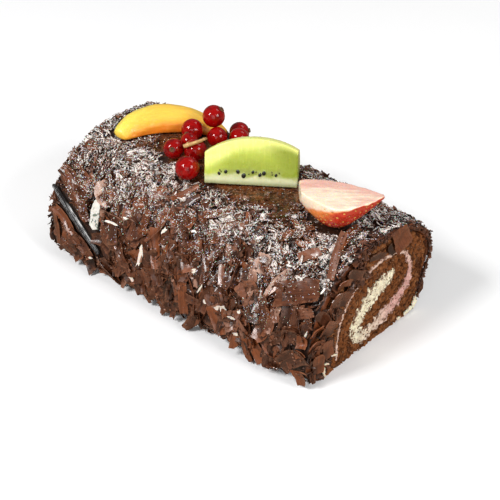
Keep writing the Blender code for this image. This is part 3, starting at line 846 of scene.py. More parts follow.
@dataclass
class Arch:
    """Outer line of the bare coat in the YZ plane, and places on it as a share of its girth."""

    front_width: float = 0.0470
    back_width: float = 0.0453
    front_foot: float = 0.0355
    back_foot: float = 0.0360
    front_widest: float = 0.0105
    back_widest: float = 0.0299
    height: float = 0.0579
    roundness: float = 2.3
    coat_front: float = 0.0042
    coat_back: float = 0.0028
    thins: Pair = (0.45, 0.80)
    far_end_lean: float = 0.030
    line: Array = field(init=False)
    reach: Array = field(init=False)
    half_length: float = field(init=False)

    def __post_init__(self) -> None:
        """Works out the line, its running length and half the roll's length."""
        self.half_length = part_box("sponge")[1].x
        power = 2 / self.roundness
        foot = np.pi / 2 * (1 - np.linspace(0, 1, 10))
        points = [np.stack([-(self.front_foot + (self.front_width - self.front_foot) * np.cos(foot)),
                            self.front_widest * (1 - np.sin(foot))], axis=1)]
        turn = np.pi / 2 * np.linspace(0, 1, 60)
        cos, sin = np.maximum(np.cos(turn), 0) ** power, np.sin(turn) ** power
        front_z, back_z = (blend(low, self.height, sin) for low in (self.front_widest, self.back_widest))
        points.append(np.stack([-self.front_width * cos, front_z], axis=1)[1:])
        points.append(np.stack([self.back_width * cos, back_z], axis=1)[-2::-1])
        low = self.back_widest * (1 - np.linspace(0, 1, 20)[1:])
        points.append(np.stack([blend(self.back_foot, self.back_width, (low / self.back_widest) ** 1.5), low],
                               axis=1))
        self.line = np.vstack(points)
        self.reach = np.concatenate([[0], np.cumsum(np.linalg.norm(np.diff(self.line, axis=0), axis=1))])

    @property
    def girth(self) -> float:
        """Length of the whole arch from foot to foot."""
        return float(self.reach[-1])

    def point(self, s: Array, depth: Numbers = 0.0) -> Array:
        """Points of the arch at shares s, sunk by depth towards the middle of the base."""
        wanted = np.clip(s, 0, 1) * self.girth
        y = np.interp(wanted, self.reach, self.line[:, 0]) * (1 - depth / self.front_width)
        z = np.interp(wanted, self.reach, self.line[:, 1]) * (1 - depth / self.height)
        return np.stack([y, z], axis=-1)

    def place(self, x: Array, s: Array) -> tuple[Array, Array, Array]:
        """Places on the bare coat.

        Args:
            x: Places along the roll in metres.
            s: Shares round the arch.

        Returns:
            Points, outward normals and directions round the arch, as rows.
        """
        x, s = np.broadcast_arrays(np.asarray(x, float), np.asarray(s, float))
        before, after, here = self.point(s - 0.004), self.point(s + 0.004), self.point(s)
        run = after - before
        run /= np.linalg.norm(run, axis=-1, keepdims=True)
        zero = np.zeros_like(x)
        point = np.stack([x, here[..., 0], here[..., 1]], axis=-1)
        normal = np.stack([zero, -run[..., 1], run[..., 0]], axis=-1)
        along = np.stack([zero, run[..., 0], run[..., 1]], axis=-1)
        return point, normal, along

    def coat_depth(self, s: Array) -> Array:
        """Thickness of the chocolate at shares s."""
        past = np.clip((np.asarray(s) - self.thins[0]) / (self.thins[1] - self.thins[0]), 0, 1)
        return blend(self.coat_front, self.coat_back, past)

    def flat(self, x: Array, s: Array) -> Array:
        """Places on the coat rolled out flat, in metres: along the roll, round the arch, and 0."""
        return np.stack([x, s * self.girth, np.zeros_like(x)], axis=-1)

    def end_x(self, near: bool, z: Array) -> Array:
        """X of a cut end at heights z; the far end leans a little."""
        return np.full_like(z, self.half_length) if near else -self.half_length + self.far_end_lean * z


ARCH = Arch()


class Tone(Enum):
    """Shade of a shaving, as a place on the chocolate's tone scale."""

    BLACK = 0.08
    DARK = 0.26
    BROWN = 0.45
    WARM = 0.61
    DULL = 0.76
    MILK = 0.88
    PALE = 0.98


def turned_shares(dx: Array, dy: Array, degrees: float, length: float,
                  width: float) -> tuple[Array, Array]:
    """How far places lie along and across a turned rectangle.

    Args:
        dx: Offsets from its middle in metres.
        dy: Offsets at a right angle to those.
        degrees: How far its long side is turned from the first axis.
        length: Reach along it in mm that counts as 1.
        width: Reach across it in mm that counts as 1.

    Returns:
        Shares along and across, both without sign.
    """
    cos, sin = math.cos(math.radians(degrees)), math.sin(math.radians(degrees))
    return np.abs(dx * cos + dy * sin) / (length * MM), np.abs(dy * cos - dx * sin) / (width * MM)


@dataclass
class CoatMap:
    """What lies where on the coat: sugar drifts, the glazed crown, large plates, and places kept clear."""

    drifts: Table = (
        # x, share round the arch, radius in mm, weight
        (-0.060, 0.330, 13, 0.95), (-0.045, 0.300, 11, 0.95), (-0.078, 0.380, 12, 1.00),
        (-0.066, 0.430, 13, 1.00), (-0.040, 0.375, 11, 0.95), (-0.030, 0.330, 9, 0.85),
        (-0.022, 0.410, 8, 0.90), (-0.060, 0.240, 9, 0.40), (-0.015, 0.300, 9, 0.65),
        (-0.008, 0.370, 8, 0.65), (0.006, 0.340, 9, 0.75), (0.018, 0.375, 9, 0.90), (0.026, 0.315, 8, 0.90),
        (0.034, 0.400, 9, 1.00), (0.037, 0.345, 8, 0.90), (0.045, 0.425, 8, 1.00), (0.050, 0.350, 8, 1.10),
        (0.055, 0.400, 9, 1.00), (0.064, 0.370, 9, 1.00), (0.070, 0.410, 8, 0.80), (0.054, 0.215, 7, 0.85),
        (0.053, 0.255, 6, 0.85), (0.073, 0.345, 6, 0.70), (0.072, 0.500, 9, 0.45), (0.020, 0.270, 8, 0.55),
        (0.029, 0.235, 7, 0.50), (-0.038, 0.420, 7, 0.85), (0.058, 0.470, 9, 0.55), (-0.076, 0.500, 13, 0.95),
        (-0.066, 0.560, 14, 0.80))
    back_drifts: Pair = (0.58, 0.74)
    glaze_from: float = 0.415
    glaze_to: float = 0.60
    glazed_stretch: Pair = (-0.060, 0.048)
    pod: tuple[Pair, Pair] = ((-0.0826, 0.240), (-0.0462, 0.124))
    plate_rows: tuple[tuple[Union[float, Tone], ...], ...] = (
        # x, share round the arch, length and width in mm, spin, tilt and roll in degrees, curl in mm, tone
        (0.0714, 0.285, 22, 13, 29, -13, 12, 0.6, Tone.BROWN),
        (0.0473, 0.230, 11.5, 11, 41, 14, 10, 0.6, Tone.DULL),
        (0.0482, 0.306, 9.5, 7, 103, 26, 8, 0.5, Tone.PALE),
        (0.0700, 0.167, 23, 7, 30, 12, 22, 0.9, Tone.DARK),
        (0.0785, 0.248, 9.5, 5, 29, 24, 20, 0.4, Tone.DULL),
        (0.0770, 0.121, 17, 9.5, 45, 12, 18, 1, Tone.DARK), (0.0815, 0.181, 6, 5, 97, 20, 20, 0.5, Tone.WARM),
        (0.0810, 0.149, 6, 5, 31, 26, 20, 0.4, Tone.WARM),
        (0.0651, 0.213, 6.5, 4.5, 120, 26, 60, 0.3, Tone.DULL),
        (0.0635, 0.181, 7, 4.2, 85, 24, 44, 0.6, Tone.DULL),
        (0.0462, 0.162, 8, 5.4, 118, 20, 40, 0.6, Tone.DULL),
        (0.0775, 0.400, 27, 4, 114, 34, 30, 1.5, Tone.DULL),
        (0.0103, 0.147, 22, 4.6, 99, 40, 30, 1, Tone.WARM),
        (0.0156, 0.154, 21, 4.6, 108, -36, 34, 1.4, Tone.BROWN),
        (0.0072, 0.150, 15, 4.4, 94, 24, 20, 0.8, Tone.WARM),
        (-0.0109, 0.220, 20, 5.8, 112, 24, 52, 1.2, Tone.WARM),
        (-0.0034, 0.243, 16.5, 2.4, 103, 36, 40, 1.2, Tone.BROWN),
        (-0.0108, 0.373, 14.5, 2.8, 58, 34, 40, 0.8, Tone.WARM),
        (-0.0061, 0.352, 14.5, 3.2, 56, 30, 40, 0.8, Tone.DARK),
        (-0.0300, 0.244, 8, 6, 22, 26, 70, 0.8, Tone.PALE),
        (-0.0424, 0.236, 14.6, 4.4, 2, 26, 40, 0.8, Tone.MILK),
        (-0.0300, 0.124, 15.7, 5.6, 49, 18, 26, 1.2, Tone.BROWN),
        (0.0662, 0.374, 10.5, 5, 49, 24, 30, 0.6, Tone.DULL),
        (0.0352, 0.312, 11, 7, -15, 12, 20, 0.7, Tone.DARK),
        (0.0240, 0.160, 16, 5.4, 74, 30, 36, 1.4, Tone.BROWN),
        (0.0320, 0.120, 15, 5.4, 122, 24, 30, 1, Tone.WARM),
        (-0.0600, 0.120, 18, 6, 150, 18, 26, 1.4, Tone.BROWN),
        (-0.0748, 0.160, 12.5, 1.2, -41, 10, 30, 0.9, Tone.MILK),
        (-0.0646, 0.120, 14, 1.2, -29, 10, 30, -0.7, Tone.MILK),
        (-0.0720, 0.165, 17, 4.6, 146, 24, 36, 1.2, Tone.WARM),
        (0.0560, 0.095, 14, 6, 128, 20, 24, 1, Tone.WARM),
        (0.0640, 0.060, 12, 6, 60, 16, 20, 0.8, Tone.BROWN))
    lump_height: float = 0.0022
    cell: float = 0.0010
    clearance: float = 0.0055
    start_below: float = 0.001              # the search for fruit over the coat starts this far under it
    soft_steps: tuple[int, int] = (3, 6)    # softening steps of that area's edge, elsewhere and on the left
    soft_left_of: float = -0.025
    drift_gains: Pair = (1.35, 1.12)        # on the left and elsewhere
    columns: Array = field(init=False)
    shares: Array = field(init=False)
    shade: Array = field(init=False)

    def __post_init__(self) -> None:
        """Finds where fruit, pod and shard lie close over the coat, and softens the edge of that area."""
        verts, faces = [], []
        for name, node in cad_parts.items():
            if name not in ("sponge", "cream_filling", "chocolate_coat"):
                faces += [[v + len(verts) for v in p.vertices] for p in node.data.polygons]
                verts += [v.co[:] for v in node.data.vertices]
        tree = BVHTree.FromPolygons(verts, faces)
        self.columns = np.arange(-0.087, 0.0875, self.cell)
        self.shares = np.linspace(0.0, 1.0, int(ARCH.girth / self.cell))
        x, s = (grid.ravel() for grid in np.meshgrid(self.columns, self.shares, indexing="ij"))
        point, normal, _ = ARCH.place(x, s)
        covered = [tree.ray_cast(Vector(p), Vector(n), self.clearance)[0] is not None
                   for p, n in zip(point - self.start_below * normal, normal)]
        shade = np.array(covered, float).reshape(len(self.columns), len(self.shares))
        wide, high = shade.shape
        softer_left = (self.columns < self.soft_left_of)[:, None]
        for step in range(self.soft_steps[1]):
            padded = np.pad(shade, 1, mode="edge")
            softer = sum(padded[i:i + wide, j:j + high] for i in range(3) for j in range(3)) / 9
            shade = np.where(softer_left | (step < self.soft_steps[0]), softer, shade)
        self.shade = shade

    def calm(self, x: Array, s: Array) -> Array:
        """1 under the fruit, the pod and the shard, where the coat stays low, and 0 elsewhere."""
        i = np.clip((np.asarray(x) - self.columns[0]) / self.cell, 0, len(self.columns) - 1.001)
        j = np.clip(np.asarray(s) * (len(self.shares) - 1), 0, len(self.shares) - 1.001)
        i, j = np.broadcast_arrays(i, j)
        low_i, low_j = i.astype(int), j.astype(int)
        u, v = i - low_i, j - low_j
        first = blend(self.shade[low_i, low_j], self.shade[low_i, low_j + 1], v)
        second = blend(self.shade[low_i + 1, low_j], self.shade[low_i + 1, low_j + 1], v)
        return ease(blend(first, second, u), 0.02, 0.32)

    def under_plate(self, x: Array, s: Array) -> Array:
        """True where a place lies well inside one of the large plates."""
        hidden = np.zeros(len(x), bool)
        for at, share, length, width, spin, *_ in self.plate_rows:
            along, across = turned_shares(x - at, (s - share) * ARCH.girth, spin, 0.5 * length, 0.5 * width)
            hidden |= (along < 0.95) & (across < 0.95)
        return hidden

    def sugar(self, x: Array, s: Array) -> Array:
        """Amount of sugar at places on the coat, from 0 to about 1."""
        amount = np.zeros_like(x)
        for at, share, radius, weight in self.drifts:
            away = np.hypot(x - at, (s - share) * ARCH.girth) / (radius * MM)
            gain = self.drift_gains[0 if at < -0.02 else 1]
            amount = np.maximum(amount, gain * weight * np.exp(-0.5 * away ** 2))
        low, high = self.back_drifts
        back = 0.75 * ease(s, low - 0.04, low + 0.04) * (1 - ease(s, high - 0.05, high + 0.05))
        flat = ARCH.flat(x, s)
        patches = noise_at(flat, 75.0, 2, 4.0)
        base = 0.90 * ease(s, 0.21, 0.32) * (1 - ease(s, 0.68, 0.82))
        amount = np.maximum(np.maximum(amount, back * (0.75 + 0.6 * patches)), base * (1 + 0.6 * patches))
        fine = 1 + 0.8 * noise_at(flat, 210.0, 2, 8.0)
        return np.clip(amount * fine * (1 - 0.80 * self.glazed(x, s)), 0, 1.4)

    def glazed(self, x: Array, s: Array) -> Array:
        """1 where the crown is glazed, 0 where it is dry."""
        wobble = 0.020 * noise_at(ARCH.flat(x, s), 110.0, 2, 9.0)
        first, last = self.glazed_stretch
        start = self.glaze_from + 1.3 * np.maximum(-0.022 - x, 0)
        across = ease(s + wobble, start, start + 0.030)
        across = across * (1 - ease(s + wobble, self.glaze_to, self.glaze_to + 0.04))
        along = x + wobble * 0.1
        return across * ease(along, first, first + 0.014) * (1 - ease(along, last - 0.012, last))

    def height(self, x: Array, s: Array) -> Array:
        """Relief of the coat over its bare line, in metres."""
        spots = np.stack([x * 95, s * 19, np.full_like(x, 3.7)], axis=-1)
        lumps = 0.65 * noise_at(spots, 1.0) + 0.35 * noise_at(spots * 2.3, 1.0)
        flat = ARCH.flat(x, s)
        shreds = 1 - 2.2 * np.abs(noise_at(flat, 330.0, 2, 2.0))
        calm = self.calm(x, s)
        rough = lumps * self.lump_height * (1 - 0.9 * calm) + (0.00042 * shreds - 0.0002) * (1 - 0.82 * calm)
        return rough + 0.00012 * noise_at(flat, 900.0, 1, 5.0)


COAT = CoatMap()


# ---- sponge and cream ----

@dataclass
class RolledCake:
    """Sponge rolled round a band of cream, cut at both ends."""

    cream_line: Table = (
        # y, z and half thickness in mm, from the core outwards
        (14, 33, 2.8), (7, 30.4, 4.6), (-1, 27.2, 4.8), (-8, 22.4, 4.2), (-11.4, 15, 3.8), (-9.2, 8.2, 3.7),
        (-0.8, 7.6, 3.5), (9, 10.4, 3.9), (17.8, 13.8, 4.1), (25.6, 18.4, 3.3), (29, 26.4, 2),
        (27.6, 35, 1.4), (21.4, 41.8, 1.1), (10.4, 44.6, 0.9), (-1, 44, 0.8), (-10.6, 40.4, 0.8),
        (-18, 34.4, 0.8), (-23.2, 26.4, 0.7), (-25.4, 16, 0.7), (-25.6, 5.4, 0.6))
    per_span: int = 22
    raggedness: float = 0.0024
    crumb_size: float = 0.00062
    pits: int = 2300
    relief: float = 0.00055
    seed: int = 5
    line: Array = field(init=False)

    def __post_init__(self) -> None:
        """Runs a smooth line through the cream's middle."""
        self.line = smooth_through(self.cream_line, self.per_span) * MM

    def cream_outline(self) -> Array:
        """Ragged closed outline of the cream in the YZ plane.

        Returns:
            Rows of y and z round the band.
        """
        run = np.gradient(self.line[:, :2], axis=0)
        run /= np.linalg.norm(run, axis=1)[:, None]
        across = np.stack([-run[:, 1], run[:, 0]], axis=1)
        sides = []
        for sign in (1, -1):
            spots = np.column_stack([self.line[:, :2], np.full(len(self.line), sign * 0.3)])
            torn = noise_at(spots, 420.0, 3, 1.0 + sign) + 0.9 * noise_at(spots, 160.0, 1, 4.0 + sign)
            torn = torn * self.raggedness * np.clip(self.line[:, 2] / 0.0032, 0.22, 1.0)
            wide = np.maximum(self.line[:, 2] + torn, 0.00022)
            sides.append(self.line[:, :2] + across * (sign * wide)[:, None])
        caps = []
        for k, forward in ((-1, 1.0), (0, -1.0)):
            middle, half = self.line[k, :2], self.line[k, 2]
            turns = np.radians(np.linspace(-60, 60, 5))[:, None] * forward
            caps.append(middle + half * (run[k] * forward * np.cos(turns) - across[k] * np.sin(turns)))
        return np.vstack([sides[0], caps[0], sides[1][::-1], caps[1]])

    def spiral_place(self, points: Array) -> tuple[Array, Array, Array]:
        """Where points of the YZ plane lie against the cream's middle line.

        Args:
            points: Rows of y and z.

        Returns:
            Share along the line, length along it and signed distance from it, each one per point.
        """
        middle = self.line[:, :2]
        reach = np.concatenate([[0], np.cumsum(np.linalg.norm(np.diff(middle, axis=0), axis=1))])
        away = np.linalg.norm(points[:, None] - middle[None], axis=2)
        nearest = away.argmin(axis=1)
        run = np.gradient(middle, axis=0)[nearest]
        off = points - middle[nearest]
        sign = np.sign(run[:, 0] * off[:, 1] - run[:, 1] * off[:, 0])
        return nearest / (len(middle) - 1), reach[nearest], away.min(axis=1) * sign

    def fill_region(self, rim: Array, holes: Loops, size: float) -> tuple[Array, Array]:
        """Fills a region of the YZ plane with small uneven triangles.

        Args:
            rim: Outer loop.
            holes: Loops that are left open.
            size: About the length of a triangle's side.

        Returns:
            Rows of y and z, and rows of three vertex numbers.
        """
        rng = np.random.default_rng(self.seed)
        low, high = rim.min(axis=0), rim.max(axis=0)
        ys, zs = np.meshgrid(np.arange(low[0], high[0], size), np.arange(low[1], high[1], size * 0.87))
        ys = ys + (np.arange(ys.shape[0]) % 2)[:, None] * size / 2
        spots = np.stack([ys.ravel(), zs.ravel()], axis=1)
        spots += rng.uniform(-0.22, 0.22, spots.shape) * size
        inside = inside_loop(spots, rim)
        for hole in holes:
            inside &= ~inside_loop(spots, hole)
        spots = spots[inside]
        border = np.vstack([rim] + holes)
        near = np.array([np.min(np.linalg.norm(border - p, axis=1)) for p in spots])
        spots = spots[near > size * 0.45]
        edges, start = [], 0
        for loop in [rim] + holes:
            edges += [(start + i, start + (i + 1) % len(loop)) for i in range(len(loop))]
            start += len(loop)
        everything = [Vector(p) for p in np.vstack([border, spots])]
        verts, _, faces, _, _, _ = delaunay_2d_cdt(everything, edges, [], 0, 1e-9)
        verts = np.array([v[:] for v in verts])
        faces = np.array([f[:] for f in faces])
        middle = verts[faces].mean(axis=1)
        keep = inside_loop(middle, rim)
        for hole in holes:
            keep &= ~inside_loop(middle, hole)
        return verts, faces[keep]

    def pit_depth(self, points: Array, seed: int) -> Array:
        """Depth of the open bubbles of the crumb at points of the YZ plane, from 0 to 1."""
        rng = np.random.default_rng(seed)
        low, high = points.min(axis=0), points.max(axis=0)
        centres = rng.uniform(low, high, (self.pits, 2))
        radii = rng.uniform(0.00030, 0.00135, self.pits) * rng.uniform(0.6, 1.0, self.pits)
        deep = np.zeros(len(points))
        for start in range(0, len(points), 4000):
            away = np.linalg.norm(points[start:start + 4000, None] - centres[None], axis=2) / radii
            deep[start:start + 4000] = np.clip(1 - away, 0, 1).max(axis=1)
        return ease(deep, 0.0, 0.7)

    def extrude(self, name: str, verts: Array, faces: Array, fronts: tuple[Array, Array],
                finish: Material, masks: Masks) -> Piece:
        """Closes two cut faces into one solid.

        Args:
            name: Name of the piece.
            verts: Rows of y and z of the filled region.
            faces: Its triangles.
            fronts: X of each vertex at the near and at the far end.
            finish: Material.
            masks: Masks for the near vertices, which the far ones repeat.

        Returns:
            The solid.
        """
        count = len(verts)
        near = np.column_stack([fronts[0], verts])
        far = np.column_stack([fronts[1], verts])
        edge_a, edge_b = verts[faces[:, 1]] - verts[faces[:, 0]], verts[faces[:, 2]] - verts[faces[:, 0]]
        turned = (edge_a[:, 0] * edge_b[:, 1] - edge_a[:, 1] * edge_b[:, 0]) < 0
        faces[turned] = faces[turned][:, ::-1]
        halves = {(a, b) for f in faces.tolist() for a, b in zip(f, f[1:] + f[:1])}
        walls = [[b, a, a + count, b + count] for a, b in halves if (b, a) not in halves]
        back = (faces[:, ::-1] + count).tolist()
        both = {label: np.concatenate([v, v]) for label, v in masks.items()}
        return make_piece(name, np.vstack([near, far]), faces.tolist() + back + walls, [finish], both, 50)

    def build(self) -> list[Piece]:
        """Makes the sponge and the cream.

        Returns:
            Both pieces.
        """
        shares = np.linspace(0, 1, 260)
        rim = ARCH.point(shares, ARCH.coat_depth(shares))
        foot = np.linspace(rim[-1], rim[0], 90)[1:-1]
        rim = np.vstack([rim, foot])
        band = self.cream_outline()
        sponge = self._sponge(rim, band)
        cream = self._cream(band)
        return [sponge, cream]

    def _sponge(self, rim: Array, band: Array) -> Piece:
        """Makes the sponge between the rim and the cream."""
        verts, faces = self.fill_region(rim, [band], self.crumb_size)
        _, along, across = self.spiral_place(verts)
        lay = np.stack([along, across, np.zeros(len(verts))], axis=1)
        flat = np.column_stack([np.zeros(len(verts)), verts])
        fronts, pits = [], []
        layers = noise_at(lay * np.array([0.3, 1.0, 1.0]), 700.0, 1, 6.0)
        for near in (True, False):
            pit = self.pit_depth(verts, self.seed + 10 * near)
            torn = noise_at(flat, 520.0, 3, 3.0 + near) + 0.8 * layers
            out = self.relief * (torn - 1.7 * pit - 0.2)
            fronts.append(ARCH.end_x(near, verts[:, 1]) + (out if near else -out))
            pits.append(pit)
        # pit: depth of the bubbles, which the finish also paints as shade
        masks = {"pit": pits[0], "lay": lay}
        return self.extrude("sponge_crumb", verts, faces, (fronts[0], fronts[1]),
                            SpongeFinish().build("sponge_crumb"), masks)

    def _cream(self, band: Array) -> Piece:
        """Makes the cream band."""
        verts, faces = self.fill_region(band, [], self.crumb_size * 0.8)
        turn, _, across = self.spiral_place(verts)
        flat = np.column_stack([np.zeros(len(verts)), verts])
        half = np.interp(turn, np.linspace(0, 1, len(self.line)), self.line[:, 2])
        smear = np.clip(0.25 + ease(np.abs(across) / half, 0.35, 1.0), 0, 1)
        fronts = []
        for near in (True, False):
            out = self.relief * (0.9 * noise_at(flat, 480.0, 3, 8.0 + near) + 0.35)
            fronts.append(ARCH.end_x(near, verts[:, 1]) + (out if near else -out))
        return self.extrude("cream_band", verts, faces, (fronts[0], fronts[1]),
                            CreamFinish().build("cream_band"), {"turn": turn, "smear": smear})

    def dress(self) -> list[Piece]:
        """Builds the cake and hands its pieces over."""
        sponge, cream = self.build()
        hand_over(sponge, "sponge", "sponge")
        hand_over(cream, "cream", "cream_filling")
        return [sponge, cream]


# ---- chocolate shavings ----

@dataclass
class Seats:
    """Where shavings lie: a point each, with its outward, lengthwise and sideways directions."""

    point: Array
    out: Array
    ahead: Array
    side: Array

    @classmethod
    def on_coat(cls, x: Array, s: Array) -> "Seats":
        """Seats on the bare coat at places along the roll and shares round the arch."""
        point, normal, along = ARCH.place(x, s)
        return cls(point, normal, np.broadcast_to([1.0, 0.0, 0.0], point.shape), along)

    @classmethod
    def on_end(cls, near: bool, y: Array, z: Array) -> "Seats":
        """Seats on a cut end at places y and z."""
        point = np.column_stack([ARCH.end_x(near, z), y, z])
        way = 1.0 if near else -1.0
        rows = ((way, 0, 0), (0, way, 0), (0, 0, 1.0))
        return cls(point, *[np.broadcast_to(row, point.shape) for row in rows])

    def kept(self, keep: Array) -> "Seats":
        """The seats for which keep is true."""
        return Seats(self.point[keep], self.out[keep], self.ahead[keep], self.side[keep])


@dataclass
class Flakes:
    """Arrays that describe a set of shavings: one entry for each shaving, or one number for all."""

    seats: Seats
    lift: Numbers
    length: Array
    width: Numbers
    spin: Numbers
    tilt: Numbers = 0.0
    pitch: Numbers = 0.0
    curl: Numbers = 0.0
    roll: Numbers = 0.0
    twist: Numbers = 0.0
    tone: Numbers = 0.0
    dust: Numbers = 0.0
    wet: Numbers = 0.0

    def __post_init__(self) -> None:
        """Gives every shaving its own entry."""
        for label in self.labels():
            setattr(self, label, np.broadcast_to(getattr(self, label), len(self.length)).astype(float))

    def labels(self) -> list[str]:
        """Names of the arrays."""
        return list(self.__dataclass_fields__)[1:]

    def __len__(self) -> int:
        """How many shavings there are."""
        return len(self.length)

    def kept(self, keep: Array) -> "Flakes":
        """The shavings for which keep is true."""
        return Flakes(self.seats.kept(keep), *[getattr(self, label)[keep] for label in self.labels()])


@dataclass
class ShavingPress:
    """Turns flake descriptions into one mesh of thin bent plates."""

    columns: int
    rows: int
    thickness: float
    seed: int
    jag: float = 0.10
    bow: float = 0.35
    end_width: Pair = (0.25, 0.95)
    # heights over the coat across which the painted gap shade fades out
    gap_shade_depth: Pair = (0.0001, 0.0022)

    def local_grid(self, flakes: Flakes) -> tuple[Array, Array]:
        """Shapes the plates in their own space.

        Args:
            flakes: The shavings.

        Returns:
            Vertices as (flake, side, column, row, xyz), and their rim mask as (column, row).
        """
        rng = np.random.default_rng(self.seed)
        count = len(flakes)
        u = np.linspace(-0.5, 0.5, self.columns)[None, :, None]
        v = np.linspace(-0.5, 0.5, self.rows)[None, None, :]
        ends = rng.uniform(*self.end_width, (count, 2))
        start, stop = ends[:, :1, None], ends[:, 1:, None]
        wide = 1 - (1 - start) * np.clip(-2 * u, 0, 1) ** 2.2 - (1 - stop) * np.clip(2 * u, 0, 1) ** 2.2
        wide = wide * (1 + rng.uniform(-self.jag, self.jag, (count, self.columns, 1)))
        length, width = flakes.length[:, None, None], flakes.width[:, None, None]
        bow = rng.uniform(-self.bow, self.bow, (count, 1, 1)) * width
        torn = rng.uniform(-self.jag, self.jag, (count, 1, self.rows)) * np.abs(2 * u) ** 3
        x = (u + 0.5 * torn) * length
        roll = np.where(np.abs(flakes.roll) < 0.05, 0.05, flakes.roll)[:, None, None]
        radius = width * wide / (2 * roll)
        y = radius * np.sin(2 * v * roll)
        z = radius * (1 - np.cos(2 * v * roll) - 0.4 * (1 - np.cos(roll)))
        turn = flakes.twist[:, None, None] * u * 2
        y, z = y * np.cos(turn) - z * np.sin(turn), y * np.sin(turn) + z * np.cos(turn)
        y = y + bow * (4 * u * u - 0.35)
        phase = rng.uniform(0, 2 * np.pi, (count, 1, 1))
        z = z + flakes.curl[:, None, None] * (4 * u * u - 0.3) + 0.04 * width * np.sin(phase + 9 * u + 3 * v)
        x, y, z = np.broadcast_arrays(x, y, z)
        rim = np.maximum(np.abs(2 * u) ** 6, np.abs(2 * v) ** 4)[0]
        thin = self.thickness * (1 - 0.45 * rim)
        sides = [np.stack([x, y, z + side * thin[None]], axis=-1) for side in (-0.5, 0.5)]
        return np.stack(sides, axis=1), rim

    def faces(self) -> Array:
        """Faces of one plate, as rows of four vertex numbers."""
        nu, nv = self.columns, self.rows
        number = np.arange(2 * nu * nv).reshape(2, nu, nv)
        low, high = number
        quads = []
        for i in range(nu - 1):
            for j in range(nv - 1):
                quads.append([high[i, j], high[i + 1, j], high[i + 1, j + 1], high[i, j + 1]])
                quads.append([low[i, j], low[i, j + 1], low[i + 1, j + 1], low[i + 1, j]])
        ring = [(i, 0) for i in range(nu)] + [(nu - 1, j) for j in range(1, nv)]
        ring += [(i, nv - 1) for i in range(nu - 2, -1, -1)] + [(0, j) for j in range(nv - 2, 0, -1)]
        for (a, b), (c, d) in zip(ring, ring[1:] + ring[:1]):
            quads.append([low[a, b], low[c, d], high[c, d], high[a, b]])
        return np.array(quads)

    def lay(self, flakes: Flakes) -> Laid:
        """Lays the plates on their seats.

        Args:
            flakes: The shavings.

        Returns:
            Vertices, faces and masks of all plates together.
        """
        local, rim = self.local_grid(flakes)
        seats = flakes.seats
        cs, sn = np.cos(flakes.spin)[:, None], np.sin(flakes.spin)[:, None]
        long_way, side_way = seats.ahead * cs + seats.side * sn, seats.side * cs - seats.ahead * sn
        ct, st = np.cos(flakes.tilt)[:, None], np.sin(flakes.tilt)[:, None]
        side_way, up = side_way * ct + seats.out * st, seats.out * ct - side_way * st
        cp, sp = np.cos(flakes.pitch)[:, None], np.sin(flakes.pitch)[:, None]
        long_way, up = long_way * cp + up * sp, up * cp - long_way * sp
        axes = np.stack([long_way, side_way, up], axis=1)
        placed = np.einsum("fscrk,fkx->fscrx", local, axes)
        above = np.einsum("fscrx,fx->fscr", placed, seats.out) + flakes.lift[:, None, None, None]
        placed = placed + (seats.point + seats.out * flakes.lift[:, None])[:, None, None, None]
        count, per = len(flakes), 2 * self.columns * self.rows
        faces = (self.faces()[None] + (np.arange(count) * per)[:, None, None]).reshape(-1, 4)
        grain = local.copy()
        grain[..., 2] = (np.arange(count) * 0.013)[:, None, None, None]
        masks = {"tone": np.repeat(flakes.tone, per),
                 # rim: where the finish paints its rim highlight; it also thins the plate there
                 "rim": np.tile(np.broadcast_to(rim, (2,) + rim.shape).ravel(), count),
                 "grain": grain.reshape(-1, 3),
                 # gap: painted shade, darkest where a shaving lies closest to the coat
                 "gap": 1 - ease(above.ravel(), *self.gap_shade_depth),
                 "dusting": np.repeat(flakes.dust, per),
                 "glazed": np.repeat(flakes.wet, per)}
        return placed.reshape(-1, 3), faces, masks

    def lay_within(self, flakes: Flakes, beyond: float) -> Laid:
        """Lays the plates and leaves out those that stand past the roll.

        Args:
            flakes: The shavings.
            beyond: How far one may stand past a cut end, in metres.

        Returns:
            Vertices, faces and masks of the plates that stay.
        """
        verts, _, _ = self.lay(flakes)
        return self.lay(flakes.kept(within_roll(verts, 2 * self.columns * self.rows, beyond)))


def within_roll(verts: Array, per: int, beyond: float, aside: float = 0.0008,
                over: float = 0.0042) -> Array:
    """Tells which plates stay within the roll's ends, its feet and its box.

    Args:
        verts: Vertices of all plates, plate by plate.
        per: Vertices of one plate.
        beyond: How far one may stand past a cut end.
        aside: How far one may stand past the box at the front and back.
        over: How far one may stand over the bare coat's top.

    Returns:
        One truth value for each plate.
    """
    x, y, z = np.moveaxis(verts.reshape(-1, per, 3), -1, 0)
    low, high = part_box("chocolate_coat")
    far = -ARCH.half_length + ARCH.far_end_lean * z
    ok = (x.max(axis=1) < ARCH.half_length + beyond) & ((x - far).min(axis=1) > -beyond)
    ok &= (y.min(axis=1) > low.y - aside) & (y.max(axis=1) < high.y + aside)
    return ok & (z.min(axis=1) > LOWEST) & (z.max(axis=1) < ARCH.height + over)


